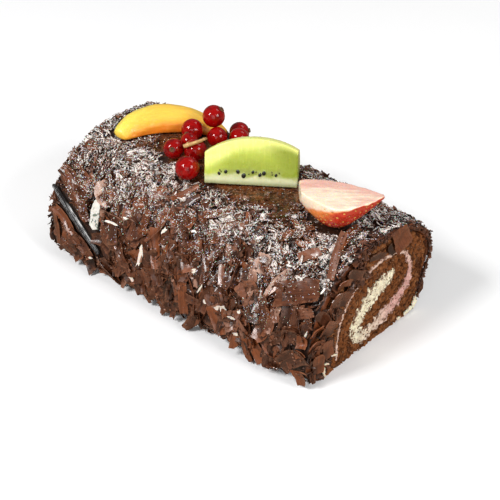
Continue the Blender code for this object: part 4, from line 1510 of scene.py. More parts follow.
@dataclass(frozen=True)
class ShavingKind:
    """How one kind of shaving is drawn: sizes in mm, angles in degrees."""

    name: str
    tries: int
    length: Pair
    width: Pair
    lift: Pair
    lean: Pair           # most tilt and most pitch
    curl: Pair
    roll: Pair
    low_share: float                    # share that lies on the front below the shoulder
    reach: Pair          # shares round the arch
    upright: float                      # share of them that stands upright on the front and back
    press: ShavingPress
    low_keep: float = 1.0               # share kept low on the front
    span: Pair = (-0.084, 0.0842)       # stretch of the roll that they are drawn on
    low_band: Pair = (0.02, 0.30)       # shares round the arch below the shoulder
    steep: Pair = (0.31, 0.68)          # the front lies before these shares, the back after
    feet: Pair = (0.055, 0.94)          # and so the two feet

    def draw(self, rng: Random) -> Flakes:
        """Draws the shavings over the coat.

        Args:
            rng: Random draws.

        Returns:
            The shavings that lie clear of the fruit.
        """
        count = self.tries
        x = rng.uniform(*self.span, count)
        s = rng.uniform(*self.reach, count)
        s = np.where(rng.uniform(0, 1, count) < self.low_share, rng.uniform(*self.low_band, count), s)
        long, wide = rng.uniform(*self.length, count) * MM, rng.uniform(*self.width, count) * MM
        on_front, on_back = s < self.steep[0], s > self.steep[1]
        standing = (on_front | on_back) & (rng.uniform(0, 1, count) < self.upright)
        way = np.where((x < -0.040) & on_front, 145.0, 97.0)
        spin = np.where(standing, np.radians(way + rng.normal(0, 17, count)), rng.uniform(0, np.pi, count))
        foot = (s < self.feet[0]) | (s > self.feet[1])
        spin = np.where(foot, rng.normal(0, 0.35, count), spin)
        long = np.where(foot, 0.65 * long, long)
        calmer = np.where(foot | (s > 0.44), 0.45, np.where(x < -0.072, 0.65, 1.0))
        tilt = np.radians(rng.uniform(-1, 1, count) * self.lean[0]) * calmer
        pitch = np.radians(rng.uniform(-1, 1, count) * self.lean[1]) * calmer
        lift = COAT.height(x, s) + rng.uniform(*self.lift, count) * MM + 0.28 * long * np.abs(np.sin(pitch))
        patch = noise_at(ARCH.flat(x, s), 110.0, 1, 15.0)
        tone = rng.choice([Tone.BLACK.value, Tone.DARK.value, Tone.BROWN.value, Tone.WARM.value,
                           Tone.DULL.value, Tone.MILK.value], count, p=[0.11, 0.36, 0.32, 0.12, 0.08, 0.01])
        # painted light and shade: shavings a little lighter from the shoulder up and darker low on the front
        tone = tone + 0.07 * ease(s, 0.26, 0.40) - 0.04 * (s < 0.2)
        tone = np.clip(tone + rng.normal(0, 0.06, count) + 0.10 * patch, 0.03, 0.97)
        small = np.minimum((0.006 / long) ** 0.7, 1.0)
        dust = np.minimum(COAT.sugar(x, s) * rng.uniform(0.6, 1.35, count) * small, 1.1)
        dust = np.where(rng.uniform(0, 1, count) < 0.15, 0.0, dust)
        wet = COAT.glazed(x, s)
        flakes = Flakes(Seats.on_coat(x, s), lift, long, wide, spin, tilt, pitch,
                        rng.uniform(*self.curl, count) * MM * rng.choice([1, 1, -0.5], count),
                        np.radians(rng.uniform(*self.roll, count)) * rng.choice([1, 1, -1], count),
                        rng.normal(0, 0.22, count), tone, dust, 0.85 * wet)
        dx, ds = 0.42 * long * np.cos(spin), 0.42 * long * np.sin(spin) / ARCH.girth
        calm = np.max([COAT.calm(x + sign * dx, s + sign * ds) for sign in (-1, 0, 1)], axis=0)
        hidden = calm > rng.uniform(0.25, 0.75, count) + 0.25 * (long < 0.005)
        hidden |= wet > rng.uniform(0.0, 1.0, count) * (0.012 / (long + 0.004)) ** 0.5
        hidden |= COAT.under_plate(x, s) & ((rng.uniform(0, 1, count) < 0.85) | (long > 0.007))
        hidden |= (s < 0.28) & (rng.uniform(0, 1, count) > self.low_keep)
        hidden |= foot & (x > 0.050) & (long > 0.006)
        hidden |= (x > 0.0735) & (s > 0.50) & (rng.uniform(0, 1, count) < 0.5)
        hidden |= (long > 0.0084) & (s > 0.35) & (s < 0.74) & (rng.uniform(0, 1, count) < 0.8)
        return flakes.kept(~hidden)


CURLS = ShavingKind("chocolate_curls", 960, (9.0, 21), (3.6, 9.2), (0.7, 2.3), (23, 9), (0.0, 2.2), (14, 60),
                    0.68, (0.02, 0.98), 0.85, ShavingPress(9, 5, 0.00042, 41, jag=0.05))
CHIPS = ShavingKind("chocolate_flakes", 2300, (3.0, 8.0), (1.2, 3.6), (0.3, 1.7), (42, 24), (0.0, 0.9),
                    (5, 60), 0.10, (0.02, 0.98), 0.35, ShavingPress(5, 3, 0.00036, 42), 0.38)
NEEDLES = ShavingKind("chocolate_shreds", 11500, (1.8, 5.0), (0.35, 0.95), (0.3, 1.9), (60, 30), (0.0, 0.5),
                      (5, 40), 0.02, (0.19, 0.86), 0.15, ShavingPress(3, 2, 0.00034, 43))


@dataclass
class ChocolateCoat:
    """The coat: its ground, the large plates, loose shavings of three sizes, and what hangs over the ends."""

    stations: int = 270
    around: int = 236
    foot_lift: float = 0.0009
    past_cut: float = 0.0016                # loose shavings may stand this far past a cut end,
    past_cut_draped: float = 0.0030         # and those that drape over it this far
    end_tries: tuple[int, int] = (1500, 1400)
    gap: float = 0.0003
    cut_rows: Table = (
        # how far past a cut end a ring stands, and its share of the way in from outside to the sponge
        (-0.0009, 0.0), (-0.0003, 0.10), (0.0, 0.30), (0.0001, 0.62), (-0.0002, 0.88), (-0.0010, 1.0))
    end_plates: Table = (
        # on the near end: y, z, length, width in mm, turn, tilt, pitch, roll in degrees, tone, lift in mm
        (17.6, 52, 12.5, 10.5, -72, 8, 6, 16, 0.56, 2), (-26.5, 41.6, 14, 9, -31, 14, -6, 10, 0.50, 1.9),
        (-34, 29.6, 13, 9.5, -33, 16, -8, 10, 0.68, 1.7), (-43, 25.5, 9, 6, -34, 24, -10, 16, 0.60, 1.6),
        (-39, 38.5, 10, 5.5, -52, 18, 4, 18, 0.42, 1.7), (-34, 17.5, 12, 6, -78, 16, -6, 16, 0.66, 1.4),
        (-41, 13, 12, 6.5, -86, 20, -8, 20, 0.60, 1.6), (-16, 49.8, 11, 5.5, -28, 14, 6, 20, 0.42, 1.6),
        (-24, 49, 9, 4.5, -8, 20, 4, 20, 0.62, 1.8), (0, 51, 10, 4.5, -14, 16, 6, 20, 0.34, 1.5),
        (11.5, 48.5, 8, 3, -62, 10, 0, 20, 0.14, 0.7), (-43.5, 33.5, 8, 4, 20, 24, 8, 26, 0.62, 2))
    inner_line: tuple[tuple[float, ...], tuple[float, ...]] = (
        # z and y in mm of the outermost turn of cream, which the shavings over the end stop at
        (0, 5.4, 16, 26.4, 34.4, 40.4, 44, 46, 60), (-27, -25.6, -25.4, -23.2, -18, -10.6, -1, 12, 14))
    seed: int = 21

    def ground(self, finish: Material) -> Piece:
        """Makes the coat itself, with its lumps and its glazed crown.

        Args:
            finish: Material.

        Returns:
            The ground piece.
        """
        shares = np.linspace(0, 1, self.around)
        depth = ARCH.coat_depth(shares) - self.gap
        z = ARCH.point(shares)[:, 1]
        far, near = ARCH.end_x(False, z), ARCH.end_x(True, z)
        first = self.cut_rows[0][0]
        rows = [(blend(far - first, near + first, t), 0.0) for t in np.linspace(0, 1, self.stations)[:-1]]
        rows += [(near + out, share) for out, share in self.cut_rows]
        rows += [(far - out, share) for out, share in self.cut_rows[:0:-1]]
        rings = []
        for x, share in rows:
            point, normal, _ = ARCH.place(x, shares)
            lifted = point + normal * COAT.height(x, shares)[:, None]
            ring = blend(lifted, np.column_stack([x, ARCH.point(shares, depth)]), share)
            if share > 0:
                ring[:, 0] += 0.0007 * noise_at(ring, 420.0, 2, 12.0) * (1 if x[0] > 0 else -1)
            ring[:, 2] = np.maximum(ring[:, 2], self.foot_lift)
            rings.append(ring)
        verts = np.vstack(rings)
        count, wide = len(rings), self.around
        number = np.arange(count * wide).reshape(count, wide)
        following = np.roll(number, -1, axis=0)
        quads = np.stack([number[:, :-1], number[:, 1:], following[:, 1:], following[:, :-1]], axis=-1)
        feet = [number[:, 0].tolist(), number[::-1, -1].tolist()]
        x_all, s_all = verts[:, 0], np.tile(shares, count)
        wet = COAT.glazed(x_all, s_all)
        hollow = noise_at(verts, 150.0, 2, 7.0)
        cut = np.repeat([float(share > 0) for _, share in rows], wide)
        # painted shade: off the cut ends the ground's tone stays near black, and its gap mask darkens it
        # further, most on the lower front, standing in for the shade between the shavings
        tone = blend(0.14 + 0.1 * wet, 0.50 + 0.08 * (s_all > 0.46), cut) + 0.14 * hollow
        masks = {"tone": np.clip(tone, 0.02, 0.7), "glazed": wet * (1 - cut),
                 "dusting": 0.6 * COAT.sugar(x_all, s_all) * (1 - cut),
                 "rim": np.zeros(len(verts)), "grain": verts,
                 "gap": (0.45 + 0.4 * (s_all < 0.30)) * (1 - wet) * (1 - cut)}
        faces = quads.reshape(-1, 4).tolist() + feet
        return make_piece("chocolate_ground", verts, faces, [finish], masks, 60)

    def plates(self, finish: Material) -> Piece:
        """Makes the large named shavings, on the coat and on the near end.

        Args:
            finish: Material.

        Returns:
            The piece that holds them all.
        """
        x, s, length, width, spin, tilt, roll, curl = np.array([row[:8] for row in COAT.plate_rows], float).T
        tones = np.array([row[8].value for row in COAT.plate_rows])
        lift = np.maximum(COAT.height(x, s), 0.0) + 0.0025
        lying = Flakes(Seats.on_coat(x, s), lift, length * MM, width * MM, np.radians(spin), np.radians(tilt),
                       curl=curl * MM, roll=np.radians(roll), tone=tones)
        y, z, length, width, spin, tilt, pitch, roll, tones, lift = np.array(self.end_plates).T
        hung = Flakes(Seats.on_end(True, y * MM, z * MM), lift * MM, length * MM, width * MM,
                      np.radians(spin), np.radians(tilt), np.radians(pitch), 0.0006, np.radians(roll),
                      tone=tones, dust=0.05)
        verts, faces, masks = joined([
            ShavingPress(17, 9, 0.0006, 31, jag=0.05, end_width=(0.76, 1.0), bow=0.15).lay(lying),
            ShavingPress(17, 9, 0.0006, 33, jag=0.07, end_width=(0.78, 1.0), bow=0.12).lay(hung)])
        verts[:, 2] = np.maximum(verts[:, 2], LOWEST)
        return make_piece("chocolate_plates", verts, faces, [finish], masks, 40)

    def loose(self, kind: ShavingKind, rng: Random, finish: Material) -> Piece:
        """Draws and lays one kind of loose shaving.

        Args:
            kind: Which kind.
            rng: Random draws.
            finish: Material.

        Returns:
            The piece.
        """
        verts, faces, masks = kind.press.lay_within(kind.draw(rng), self.past_cut)
        verts[:, 2] = np.maximum(verts[:, 2], LOWEST)
        return make_piece(kind.name, verts, faces, [finish], masks, 45)

    def end_places(self, near: bool, count: int, rng: Random) -> tuple[Array, Array]:
        """Draws where shavings lie on a cut end: left of the outer cream line, and thinly along the rim.

        Args:
            near: True for the near end.
            count: How many are tried.
            rng: Random draws.

        Returns:
            Rows of y and z, and the length of each one in metres.
        """
        shares = rng.uniform(0.03, 0.97, count)
        long = rng.uniform(2.4, 7.5, count) * MM
        outside = shares > 0.46
        long = np.where(outside, 0.45 * long, long)
        deep = np.where(outside, rng.uniform(0.0002, 0.0016, count), rng.uniform(0.0004, 0.026, count))
        spots = ARCH.point(shares, deep)
        z_line, y_line = (np.array(row) * MM for row in self.inner_line)
        clear = spots[:, 0] < np.interp(spots[:, 1], z_line, y_line) - 0.50 * long - 0.0026
        keep = outside | (clear & (spots[:, 1] > 0.004))
        keep &= ~(outside & (rng.uniform(0, 1, count) < 0.6))
        if near:
            for y, z, length, width, turn, *_ in self.end_plates:
                along, across = turned_shares(spots[:, 0] - y * MM, spots[:, 1] - z * MM, turn,
                                              0.52 * length, 0.52 * width)
                keep &= (along > 1) | (across > 1)
        return spots[keep], long[keep]

    def end_drape(self, rng: Random, finish: Material) -> Piece:
        """Lays shavings over the outer ring of both cut ends.

        Args:
            rng: Random draws.
            finish: Material.

        Returns:
            The piece.
        """
        press = ShavingPress(5, 3, 0.00036, 45)
        parts = []
        for near, tries in zip((True, False), self.end_tries):
            spots, long = self.end_places(near, tries, rng)
            count = len(spots)
            tone = rng.choice([0.12, 0.30, 0.46, 0.62, 0.76], count, p=[0.05, 0.22, 0.37, 0.27, 0.09])
            flakes = Flakes(
                Seats.on_end(near, *spots.T), rng.uniform(0.1, 1.2, count) * MM, long,
                long * rng.uniform(0.30, 0.62, count), rng.normal(-0.9, 0.55, count),
                np.radians(rng.uniform(-38, 38, count)), np.radians(rng.uniform(-14, 14, count)),
                rng.uniform(0, 0.7, count) * MM, np.radians(rng.uniform(5, 55, count)),
                rng.normal(0, 0.2, count), np.clip(tone + rng.normal(0, 0.05, count), 0.03, 0.9),
                np.where(rng.uniform(0, 1, count) < 0.12, 0.55, 0.05))
            parts.append(press.lay_within(flakes, self.past_cut_draped))
        verts, faces, masks = joined(parts)
        return make_piece("chocolate_end_flakes", verts, faces, [finish], masks, 45)

    def dress(self) -> list[Piece]:
        """Builds the ground, the plates and the loose shavings, and hands them over.

        Returns:
            All pieces of the coat.
        """
        rng = np.random.default_rng(self.seed)
        finish = ChocolateFinish()
        smooth, streaky = finish.build("chocolate_ground", False), finish.build("chocolate_shaving", True)
        pieces = [self.ground(smooth), self.plates(streaky)]
        pieces += [self.loose(kind, rng, streaky) for kind in (CURLS, CHIPS, NEEDLES)]
        pieces.append(self.end_drape(rng, streaky))
        for piece in pieces:
            hand_over(piece, "chocolate", "chocolate_coat")
        return pieces


# ---- bits that lie on the coat and the cut ----

def scattered_bits(name: str, places: Array, sizes: Array, tones: Array,
                   finish: Material, rng: Random, flat: float = 0.7) -> Piece:
    """One mesh of many small uneven eight-sided bits.

    Args:
        name: Name of the piece.
        places: Centres as rows.
        sizes: Radius of each bit in metres.
        tones: Shade of each bit, from 0 to 1.
        finish: Material.
        rng: Source of the random draws.
        flat: Height of a bit against its width.

    Returns:
        The piece.
    """
    corners = np.array([[1, 0, 0], [0, 1, 0], [-1, 0, 0], [0, -1, 0], [0, 0, 1], [0, 0, -1]], float)
    faces = np.array([[0, 1, 4], [1, 2, 4], [2, 3, 4], [3, 0, 4], [1, 0, 5], [2, 1, 5], [3, 2, 5], [0, 3, 5]])
    count = len(places)
    shape = corners[None] * rng.uniform(0.6, 1.3, (count, 6, 1)) * np.array([1, 1, flat])
    turn = rng.uniform(0, 2 * np.pi, count)
    lean = rng.uniform(-0.9, 0.9, count)
    ct, st, cl, sl = np.cos(turn), np.sin(turn), np.cos(lean), np.sin(lean)
    zero = np.zeros(count)
    spin = np.stack([np.stack([ct, st, zero], -1), np.stack([-st * cl, ct * cl, sl], -1),
                     np.stack([st * sl, -ct * sl, cl], -1)], axis=1)
    verts = np.einsum("nki,nij->nkj", shape, spin) * sizes[:, None, None] + places[:, None]
    everything = (faces[None] + (np.arange(count) * 6)[:, None, None]).reshape(-1, 3)
    return make_piece(name, verts.reshape(-1, 3), everything, [finish], {"tone": np.repeat(tones, 6)}, 35)


@dataclass
class Surface:
    """The outside of the coat as one search tree, so that bits can be dropped on it."""

    pieces: Sequence[Piece]
    tree: BVHTree = field(init=False)
    start_over: float = 0.008               # bits start this far over the bare coat
    fall: float = 0.015                     # and fall this far at most

    def __post_init__(self) -> None:
        """Joins the pieces' faces into the tree."""
        verts, faces, start = [], [], 0
        for piece in self.pieces:
            places = vertices_of(piece.data)
            verts += places.tolist()
            faces += [[v + start for v in p.vertices] for p in piece.data.polygons if len(p.vertices) < 5]
            start += len(places)
        self.tree = BVHTree.FromPolygons(verts, faces)

    def land(self, x: Array, s: Array) -> tuple[Array, Array, Array]:
        """Lets bits fall onto the coat from outside, along its normal.

        Args:
            x: Places along the roll.
            s: Shares round the arch.

        Returns:
            Points hit, their normals, and which of the bits hit anything.
        """
        point, normal, _ = ARCH.place(x, s)
        start = point + normal * self.start_over
        spots, ways, found = np.zeros_like(point), normal.copy(), np.zeros(len(x), bool)
        for k, (origin, way) in enumerate(zip(start, -normal)):
            hit, face_normal, _, _ = self.tree.ray_cast(Vector(origin), Vector(way), self.fall)
            if hit is not None:
                spots[k], ways[k], found[k] = hit, face_normal, True
        return spots, ways, found


@dataclass
class Toppings:
    """Sugar, chocolate grit, pale slivers and the crumbs on the cut ends."""

    sugar_tries: int = 64000
    grit_tries: int = 4200
    crumb_count: int = 900
    span: Pair = (-0.083, 0.084)            # stretch of the roll that sugar and grit fall on
    sugar_reach: Pair = (0.16, 0.78)        # shares round the arch
    grit_reach: Pair = (0.05, 0.95)
    sugar_radii: Pair = (0.00011, 0.00026)
    grit_radii: Pair = (0.0002, 0.0008)
    crumb_radii: Pair = (0.00018, 0.00062)
    seed: int = 71
    slivers: Table = (
        # x, share round the arch, length and width in mm, spin and tilt in degrees
        (-0.0173, 0.187, 10.5, 2, 88, 20), (0.0145, 0.212, 4.6, 2.6, 60, 12),
        (0.0205, 0.186, 8.5, 0.8, 66, 20), (-0.0232, 0.104, 2.4, 2.4, 20, 10),
        (0.0241, 0.152, 2.2, 2, 30, 10), (-0.0091, 0.267, 3.4, 1.8, 70, 15), (0.0340, 0.158, 7, 3.6, 28, 22),
        (0.0410, 0.150, 5, 1.6, 14, 24), (0.0447, 0.175, 2.6, 1.6, 40, 10), (0.0441, 0.110, 3, 2, 30, 16),
        (0.0614, 0.331, 3.4, 0.8, 10, 12), (0.0818, 0.200, 6, 0.8, 74, 30), (0.0822, 0.312, 3.6, 0.9, 80, 20),
        (-0.0400, 0.226, 8, 1.3, 6, 22), (-0.0330, 0.250, 5, 1.4, 10, 16), (0.0063, 0.299, 2.8, 1.2, 20, 12),
        (-0.0520, 0.100, 2.6, 1.2, 30, 12), (0.0560, 0.120, 2.4, 0.9, 20, 10),
        (0.0812, 0.562, 4.6, 3.4, 60, 14))
    cream_rows: Table = (
        # on the near end: y, z, length and width in mm, turn in degrees
        (34.6, 4.6, 6.2, 3.2, 74), (31.6, 2.6, 4, 2.4, 16), (27.8, 2, 2.8, 1.8, 10),
        (22.2, 1.8, 2.6, 1.6, -12), (36.8, 8.4, 2.8, 1.4, 80), (-29.6, 11.6, 4.4, 0.8, -22),
        (-35, 9.6, 3.6, 1, -24), (-36.8, 5.6, 5.6, 1.5, -80))

    def sugar(self, surface: Surface, rng: Random) -> Piece:
        """Drops grains of powdered sugar where the drifts are.

        Args:
            surface: What they fall on.
            rng: Random draws.

        Returns:
            The sugar piece.
        """
        x = rng.uniform(*self.span, self.sugar_tries)
        s = rng.uniform(*self.sugar_reach, self.sugar_tries)
        clumps = noise_at(ARCH.flat(x, s), 480.0, 2, 20.0)
        dense = np.clip(COAT.sugar(x, s), 0, 1) ** 1.3 * (0.62 + 1.1 * clumps)
        keep = rng.uniform(0, 1, len(x)) < dense
        keep &= ~COAT.under_plate(x, s) | (rng.uniform(0, 1, len(x)) < 0.12)
        spots, ways, found = surface.land(x[keep], s[keep])
        upward = found & (ways[:, 2] > 0.05)
        spots, ways = spots[upward], ways[upward]
        sizes = rng.uniform(*self.sugar_radii, len(spots)) * rng.choice([1.0, 1.0, 1.35], len(spots))
        tones = rng.uniform(0.45, 1.0, len(spots))
        finish = GrainFinish((0.98, 0.97, 0.95), (0.72, 0.69, 0.66), 0.7, 0.3).build("powdered_sugar")
        return scattered_bits("sugar_grains", spots + ways * sizes[:, None] * 0.4, sizes, tones, finish, rng)

    def grit(self, surface: Surface, rng: Random) -> Piece:
        """Drops small chocolate bits all over the coat.

        Args:
            surface: What they fall on.
            rng: Random draws.

        Returns:
            The grit piece.
        """
        x = rng.uniform(*self.span, self.grit_tries)
        s = rng.uniform(*self.grit_reach, self.grit_tries)
        keep = COAT.calm(x, s) * rng.uniform(0, 1, len(x)) < 0.6
        keep &= COAT.glazed(x, s) * rng.uniform(0, 1, len(x)) < 0.35
        spots, ways, found = surface.land(x[keep], s[keep])
        spots, ways = spots[found], ways[found]
        sizes = rng.uniform(*self.grit_radii, len(spots))
        finish = GrainFinish((0.26, 0.105, 0.05), (0.045, 0.015, 0.009), 0.45).build("chocolate_grit")
        return scattered_bits("chocolate_grit", spots + ways * sizes[:, None] * 0.3, sizes,
                              rng.uniform(0, 1, len(spots)) ** 1.6, finish, rng)

    def pale_slivers(self, surface: Surface) -> Piece:
        """Lays the pale slivers on the coat.

        Args:
            surface: What they lie on.

        Returns:
            The piece.
        """
        x, s, length, width, spin, tilt = np.array(self.slivers).T
        spots, _, found = surface.land(x, s)
        seats = Seats.on_coat(x, s)
        lift = np.where(found, np.einsum("ij,ij->i", spots - seats.point, seats.out), 0.0005) + 0.0003
        flakes = Flakes(seats, lift, length * MM, width * MM, np.radians(spin), np.radians(tilt),
                        curl=0.05 * length * MM, roll=0.4, tone=np.linspace(0.4, 1.0, len(x)))
        verts, faces, masks = ShavingPress(8, 4, 0.0005, 51, jag=0.2, end_width=(0.4, 0.9)).lay(flakes)
        finish = GrainFinish((0.93, 0.89, 0.82), (0.66, 0.56, 0.46), 0.45, 0.15).build("pale_slivers")
        return make_piece("pale_slivers", verts, faces, [finish], {"tone": masks["tone"]}, 45)

    def cream_bits(self) -> Piece:
        """Presses the smeared bits of cream on the foot of the near end.

        Returns:
            The piece.
        """
        y, z, length, width, turn = np.array(self.cream_rows).T
        flakes = Flakes(Seats.on_end(True, y * MM, z * MM), np.where(y < 0, 0.0019, 0.0004), length * MM,
                        width * MM, np.radians(turn), curl=0.0002, roll=0.3,
                        tone=np.linspace(1.0, 0.55, len(y)))
        verts, faces, masks = ShavingPress(13, 8, 0.0010, 52, jag=0.30, end_width=(0.35, 0.8)).lay(flakes)
        verts[:, 2] = np.maximum(verts[:, 2], LOWEST)
        finish = GrainFinish((0.93, 0.88, 0.68), (0.62, 0.42, 0.32), 0.6, 0.2).build("cream_smears")
        return make_piece("cream_smears", verts, faces, [finish], {"tone": masks["tone"]}, 60)

    def crumbs(self, cake: RolledCake, rng: Random) -> Piece:
        """Puts loose crumbs on both cut ends, thickest beside the cream.

        Args:
            cake: The rolled cake whose ends they lie on.
            rng: Random draws.

        Returns:
            The crumb piece.
        """
        shares = np.linspace(0, 1, 120)
        rim = ARCH.point(shares, ARCH.coat_depth(shares))
        spots = rng.uniform(rim.min(axis=0), rim.max(axis=0), (self.crumb_count * 4, 2))
        spots = spots[inside_loop(spots, rim)]
        _, _, across = cake.spiral_place(spots)
        keep = rng.uniform(0, 1, len(spots)) < 0.22 + 0.6 * np.exp(-(np.abs(across) / 0.0035) ** 2)
        spots = spots[keep][:self.crumb_count * 2]
        near = rng.uniform(0, 1, len(spots)) < 0.5
        sizes = rng.uniform(*self.crumb_radii, len(spots))
        spots[:, 1] = np.maximum(spots[:, 1], 0.0008)
        x = np.where(near, ARCH.end_x(True, spots[:, 1]) + 0.0001, ARCH.end_x(False, spots[:, 1]) - 0.0001)
        finish = GrainFinish((0.26, 0.12, 0.055), (0.06, 0.022, 0.010), 0.8).build("cake_crumbs")
        return scattered_bits("cake_crumbs", np.column_stack([x, spots]), sizes,
                              rng.uniform(0, 1, len(spots)), finish, rng, flat=0.9)

    def dress(self, cake: RolledCake, coat: Sequence[Piece]) -> None:
        """Builds all toppings and hands them over.

        Args:
            cake: The rolled cake.
            coat: The pieces of the coat.
        """
        rng = np.random.default_rng(self.seed)
        surface = Surface(coat)
        hand_over(self.grit(surface, rng), "chocolate")
        hand_over(self.sugar(surface, rng), "chocolate")
        hand_over(self.pale_slivers(surface), "white_chocolate")
        hand_over(self.cream_bits(), "cream")
        hand_over(self.crumbs(cake, rng), "sponge")


# ---- fruit ----

def solid_places(node: str) -> Array:
    """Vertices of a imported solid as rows."""
    return vertices_of(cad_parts[node].data)


def own_axes(node: str, place: Pair, turns: Sequence[tuple[float, str]],
             on_top: bool) -> tuple[Array, Array]:
    """Own axes of a fruit that is turned and leans.

    Args:
        node: Name of its solid.
        place: X and y of the point that its sizes start from.
        turns: Degrees and axis of each turn, in the order in which the matrices multiply.
        on_top: True if that point lies at the solid's own top, False if at its own bottom.

    Returns:
        The turn as a matrix, and the point.
    """
    matrix = Matrix.Identity(3)
    for degrees, axis in turns:
        matrix = matrix @ Matrix.Rotation(math.radians(degrees), 3, axis)
    turn = np.array(matrix)
    up = turn[:, 2]
    heights = solid_places(node) @ up
    level = heights.max() if on_top else heights.min()
    z = (level - place[0] * up[0] - place[1] * up[1]) / up[2]
    return turn, np.array(Vector((*place, z)))


@dataclass
class Kiwi:
    """Wedge of peeled kiwi with its pale core line at the lower front edge, and painted shade right along
    that edge.
    """

    place: Pair = (0.0119, -0.0031)
    turn: float = 35.7
    back_tilt: float = -1.0
    wedge: float = 80.0
    radius: float = 0.0240
    half_length: float = 0.0325
    middle: float = 0.0022
    seeds: Table = (
        # along the core, out from it and size, in mm
        (-15.2, 5.6, 1.0), (-12.0, 6.6, 1.1), (-6.2, 6.9, 1.2), (-3.4, 5.1, 1.5), (1.0, 7.1, 1.0),
        (4.4, 5.9, 1.2), (6.2, 6.8, 1.3), (12.0, 6.1, 0.9))
    finish: FleshFinish = FleshFinish(
        (0.47, 0.55, 0.080), (("peel", (0.86, 0.90, 0.26)), ("green", (0.27, 0.33, 0.032)),
                              ("core", (0.62, 0.63, 0.38)), ("bloom", (0.24, 0.26, 0.075)),
                              # foot: painted shade colour for the bottom edge where the wedge rests on the
                              # coat
                              ("foot", (0.30, 0.31, 0.15))),
        (0.46, 0.55, 0.055), 0.30, 0.30, 0.0022)

    def axes(self) -> tuple[Array, Array]:
        """Turn of the wedge as a matrix, and the foot of its core line."""
        return own_axes("kiwi_wedge", self.place, [(self.turn, "Z"), (self.back_tilt, "X")], False)

    def flesh(self) -> Piece:
        """Makes the flesh, with its colours by distance from the core.

        Returns:
            The flesh piece.
        """
        mesh = rounded_copy("kiwi_wedge", 0.00045, 9)
        turn, foot = self.axes()
        local = (vertices_of(mesh) - foot) @ turn
        x, out = local[:, 0], np.hypot(local[:, 1], local[:, 2])
        angle = np.degrees(np.arctan2(local[:, 2], np.maximum(local[:, 1], 1e-6)))
        along = (x - self.middle) / self.half_length
        radius = self.radius * np.sqrt(np.clip(1 - along ** 2, 0.05, 1))
        share = out / radius
        wavy = 0.0010 * noise_at(local, 260.0, 2, 3.0)
        inner_green = 0.62 * (1 - ease(share, 0.42, 0.80)) * ease(x, -0.022, -0.008)
        ring = np.exp(-((out + wavy - 0.0070) / 0.0018) ** 2)
        masks = {
            "peel": ease(share + 0.25 * ease(-x, 0.004, 0.020), 0.55, 1.02)
            * (0.6 + 0.4 * ease(angle, 40, 80)),
            "green": np.maximum(ease(x + 0.3 * out, 0.004, 0.026), inner_green)
            * (1 - ease(share, 0.80, 1.05)),
            "core": (1 - ease(out + 1.6 * wavy, 0.0024, 0.0074)) * (1 - ease(np.abs(x), 0.021, 0.028)),
            "bloom": ring * 0.55 * (1 - ease(np.abs(x), 0.012, 0.019)),
            # foot: painted shade along the core line at the bottom, where the wedge rests on the coat
            "foot": (1 - ease(out, 0.0006, 0.0034)) * 0.8,
            "grain": np.stack([out, x, angle * 0.0003], axis=1)}
        skin = ease(share, 0.925, 0.965) * (1 - ease(np.abs(x - self.middle), 0.024, 0.029))
        local[:, 1:] *= blend(1.0, 0.985 * radius / np.maximum(out, 1e-6), skin)[:, None]
        rough = vertex_normals(mesh) * (0.00010 * noise_at(local, 420.0, 2, 2.0))[:, None]
        return make_piece("kiwi_flesh", local @ turn.T + foot + rough, faces_of(mesh),
                          [self.finish.build("kiwi_flesh")], masks)

    def pips(self) -> Piece:
        """Makes the dark seeds on the cut face, with fainter ones below the surface.

        Returns:
            The seed piece.
        """
        turn, foot = self.axes()
        lift = math.radians(self.wedge)
        ahead = np.array([1.0, 0, 0])
        across = np.array([0, -math.sin(lift), math.cos(lift)])
        outward = np.array([0, math.cos(lift), math.sin(lift)])
        unit, faces = ball_grid(10, 6)
        rng = np.random.default_rng(9)
        rows = list(self.seeds) + [(rng.uniform(-15, 14), rng.uniform(5.8, 7.6), 0.5) for _ in range(9)]
        parts = []
        for x, out, size in rows:
            centre = ahead * x * MM + outward * out * MM + across * 0.00012
            lean = rng.uniform(-0.5, 0.5)
            long_way = outward * math.cos(lean) + ahead * math.sin(lean)
            side_way = ahead * math.cos(lean) - outward * math.sin(lean)
            shape = unit[:, :1] * side_way * 0.80 + unit[:, 2:] * long_way + unit[:, 1:2] * across * 0.40
            verts = (shape * size * 0.95 * MM + centre) @ turn.T + foot
            parts.append((verts, faces, {"tone": np.full(len(unit), 0.0 if size > 0.6 else 0.55)}))
        finish = GrainFinish((0.20, 0.22, 0.04), (0.010, 0.010, 0.006), 0.25).build("kiwi_pips")
        verts, all_faces, masks = joined(parts)
        return make_piece("kiwi_pips", verts, all_faces, [finish], masks)

    def dress(self) -> None:
        """Builds the wedge and hands it over."""
        hand_over(self.flesh(), "kiwi", "kiwi_wedge")
        hand_over(self.pips(), "kiwi")


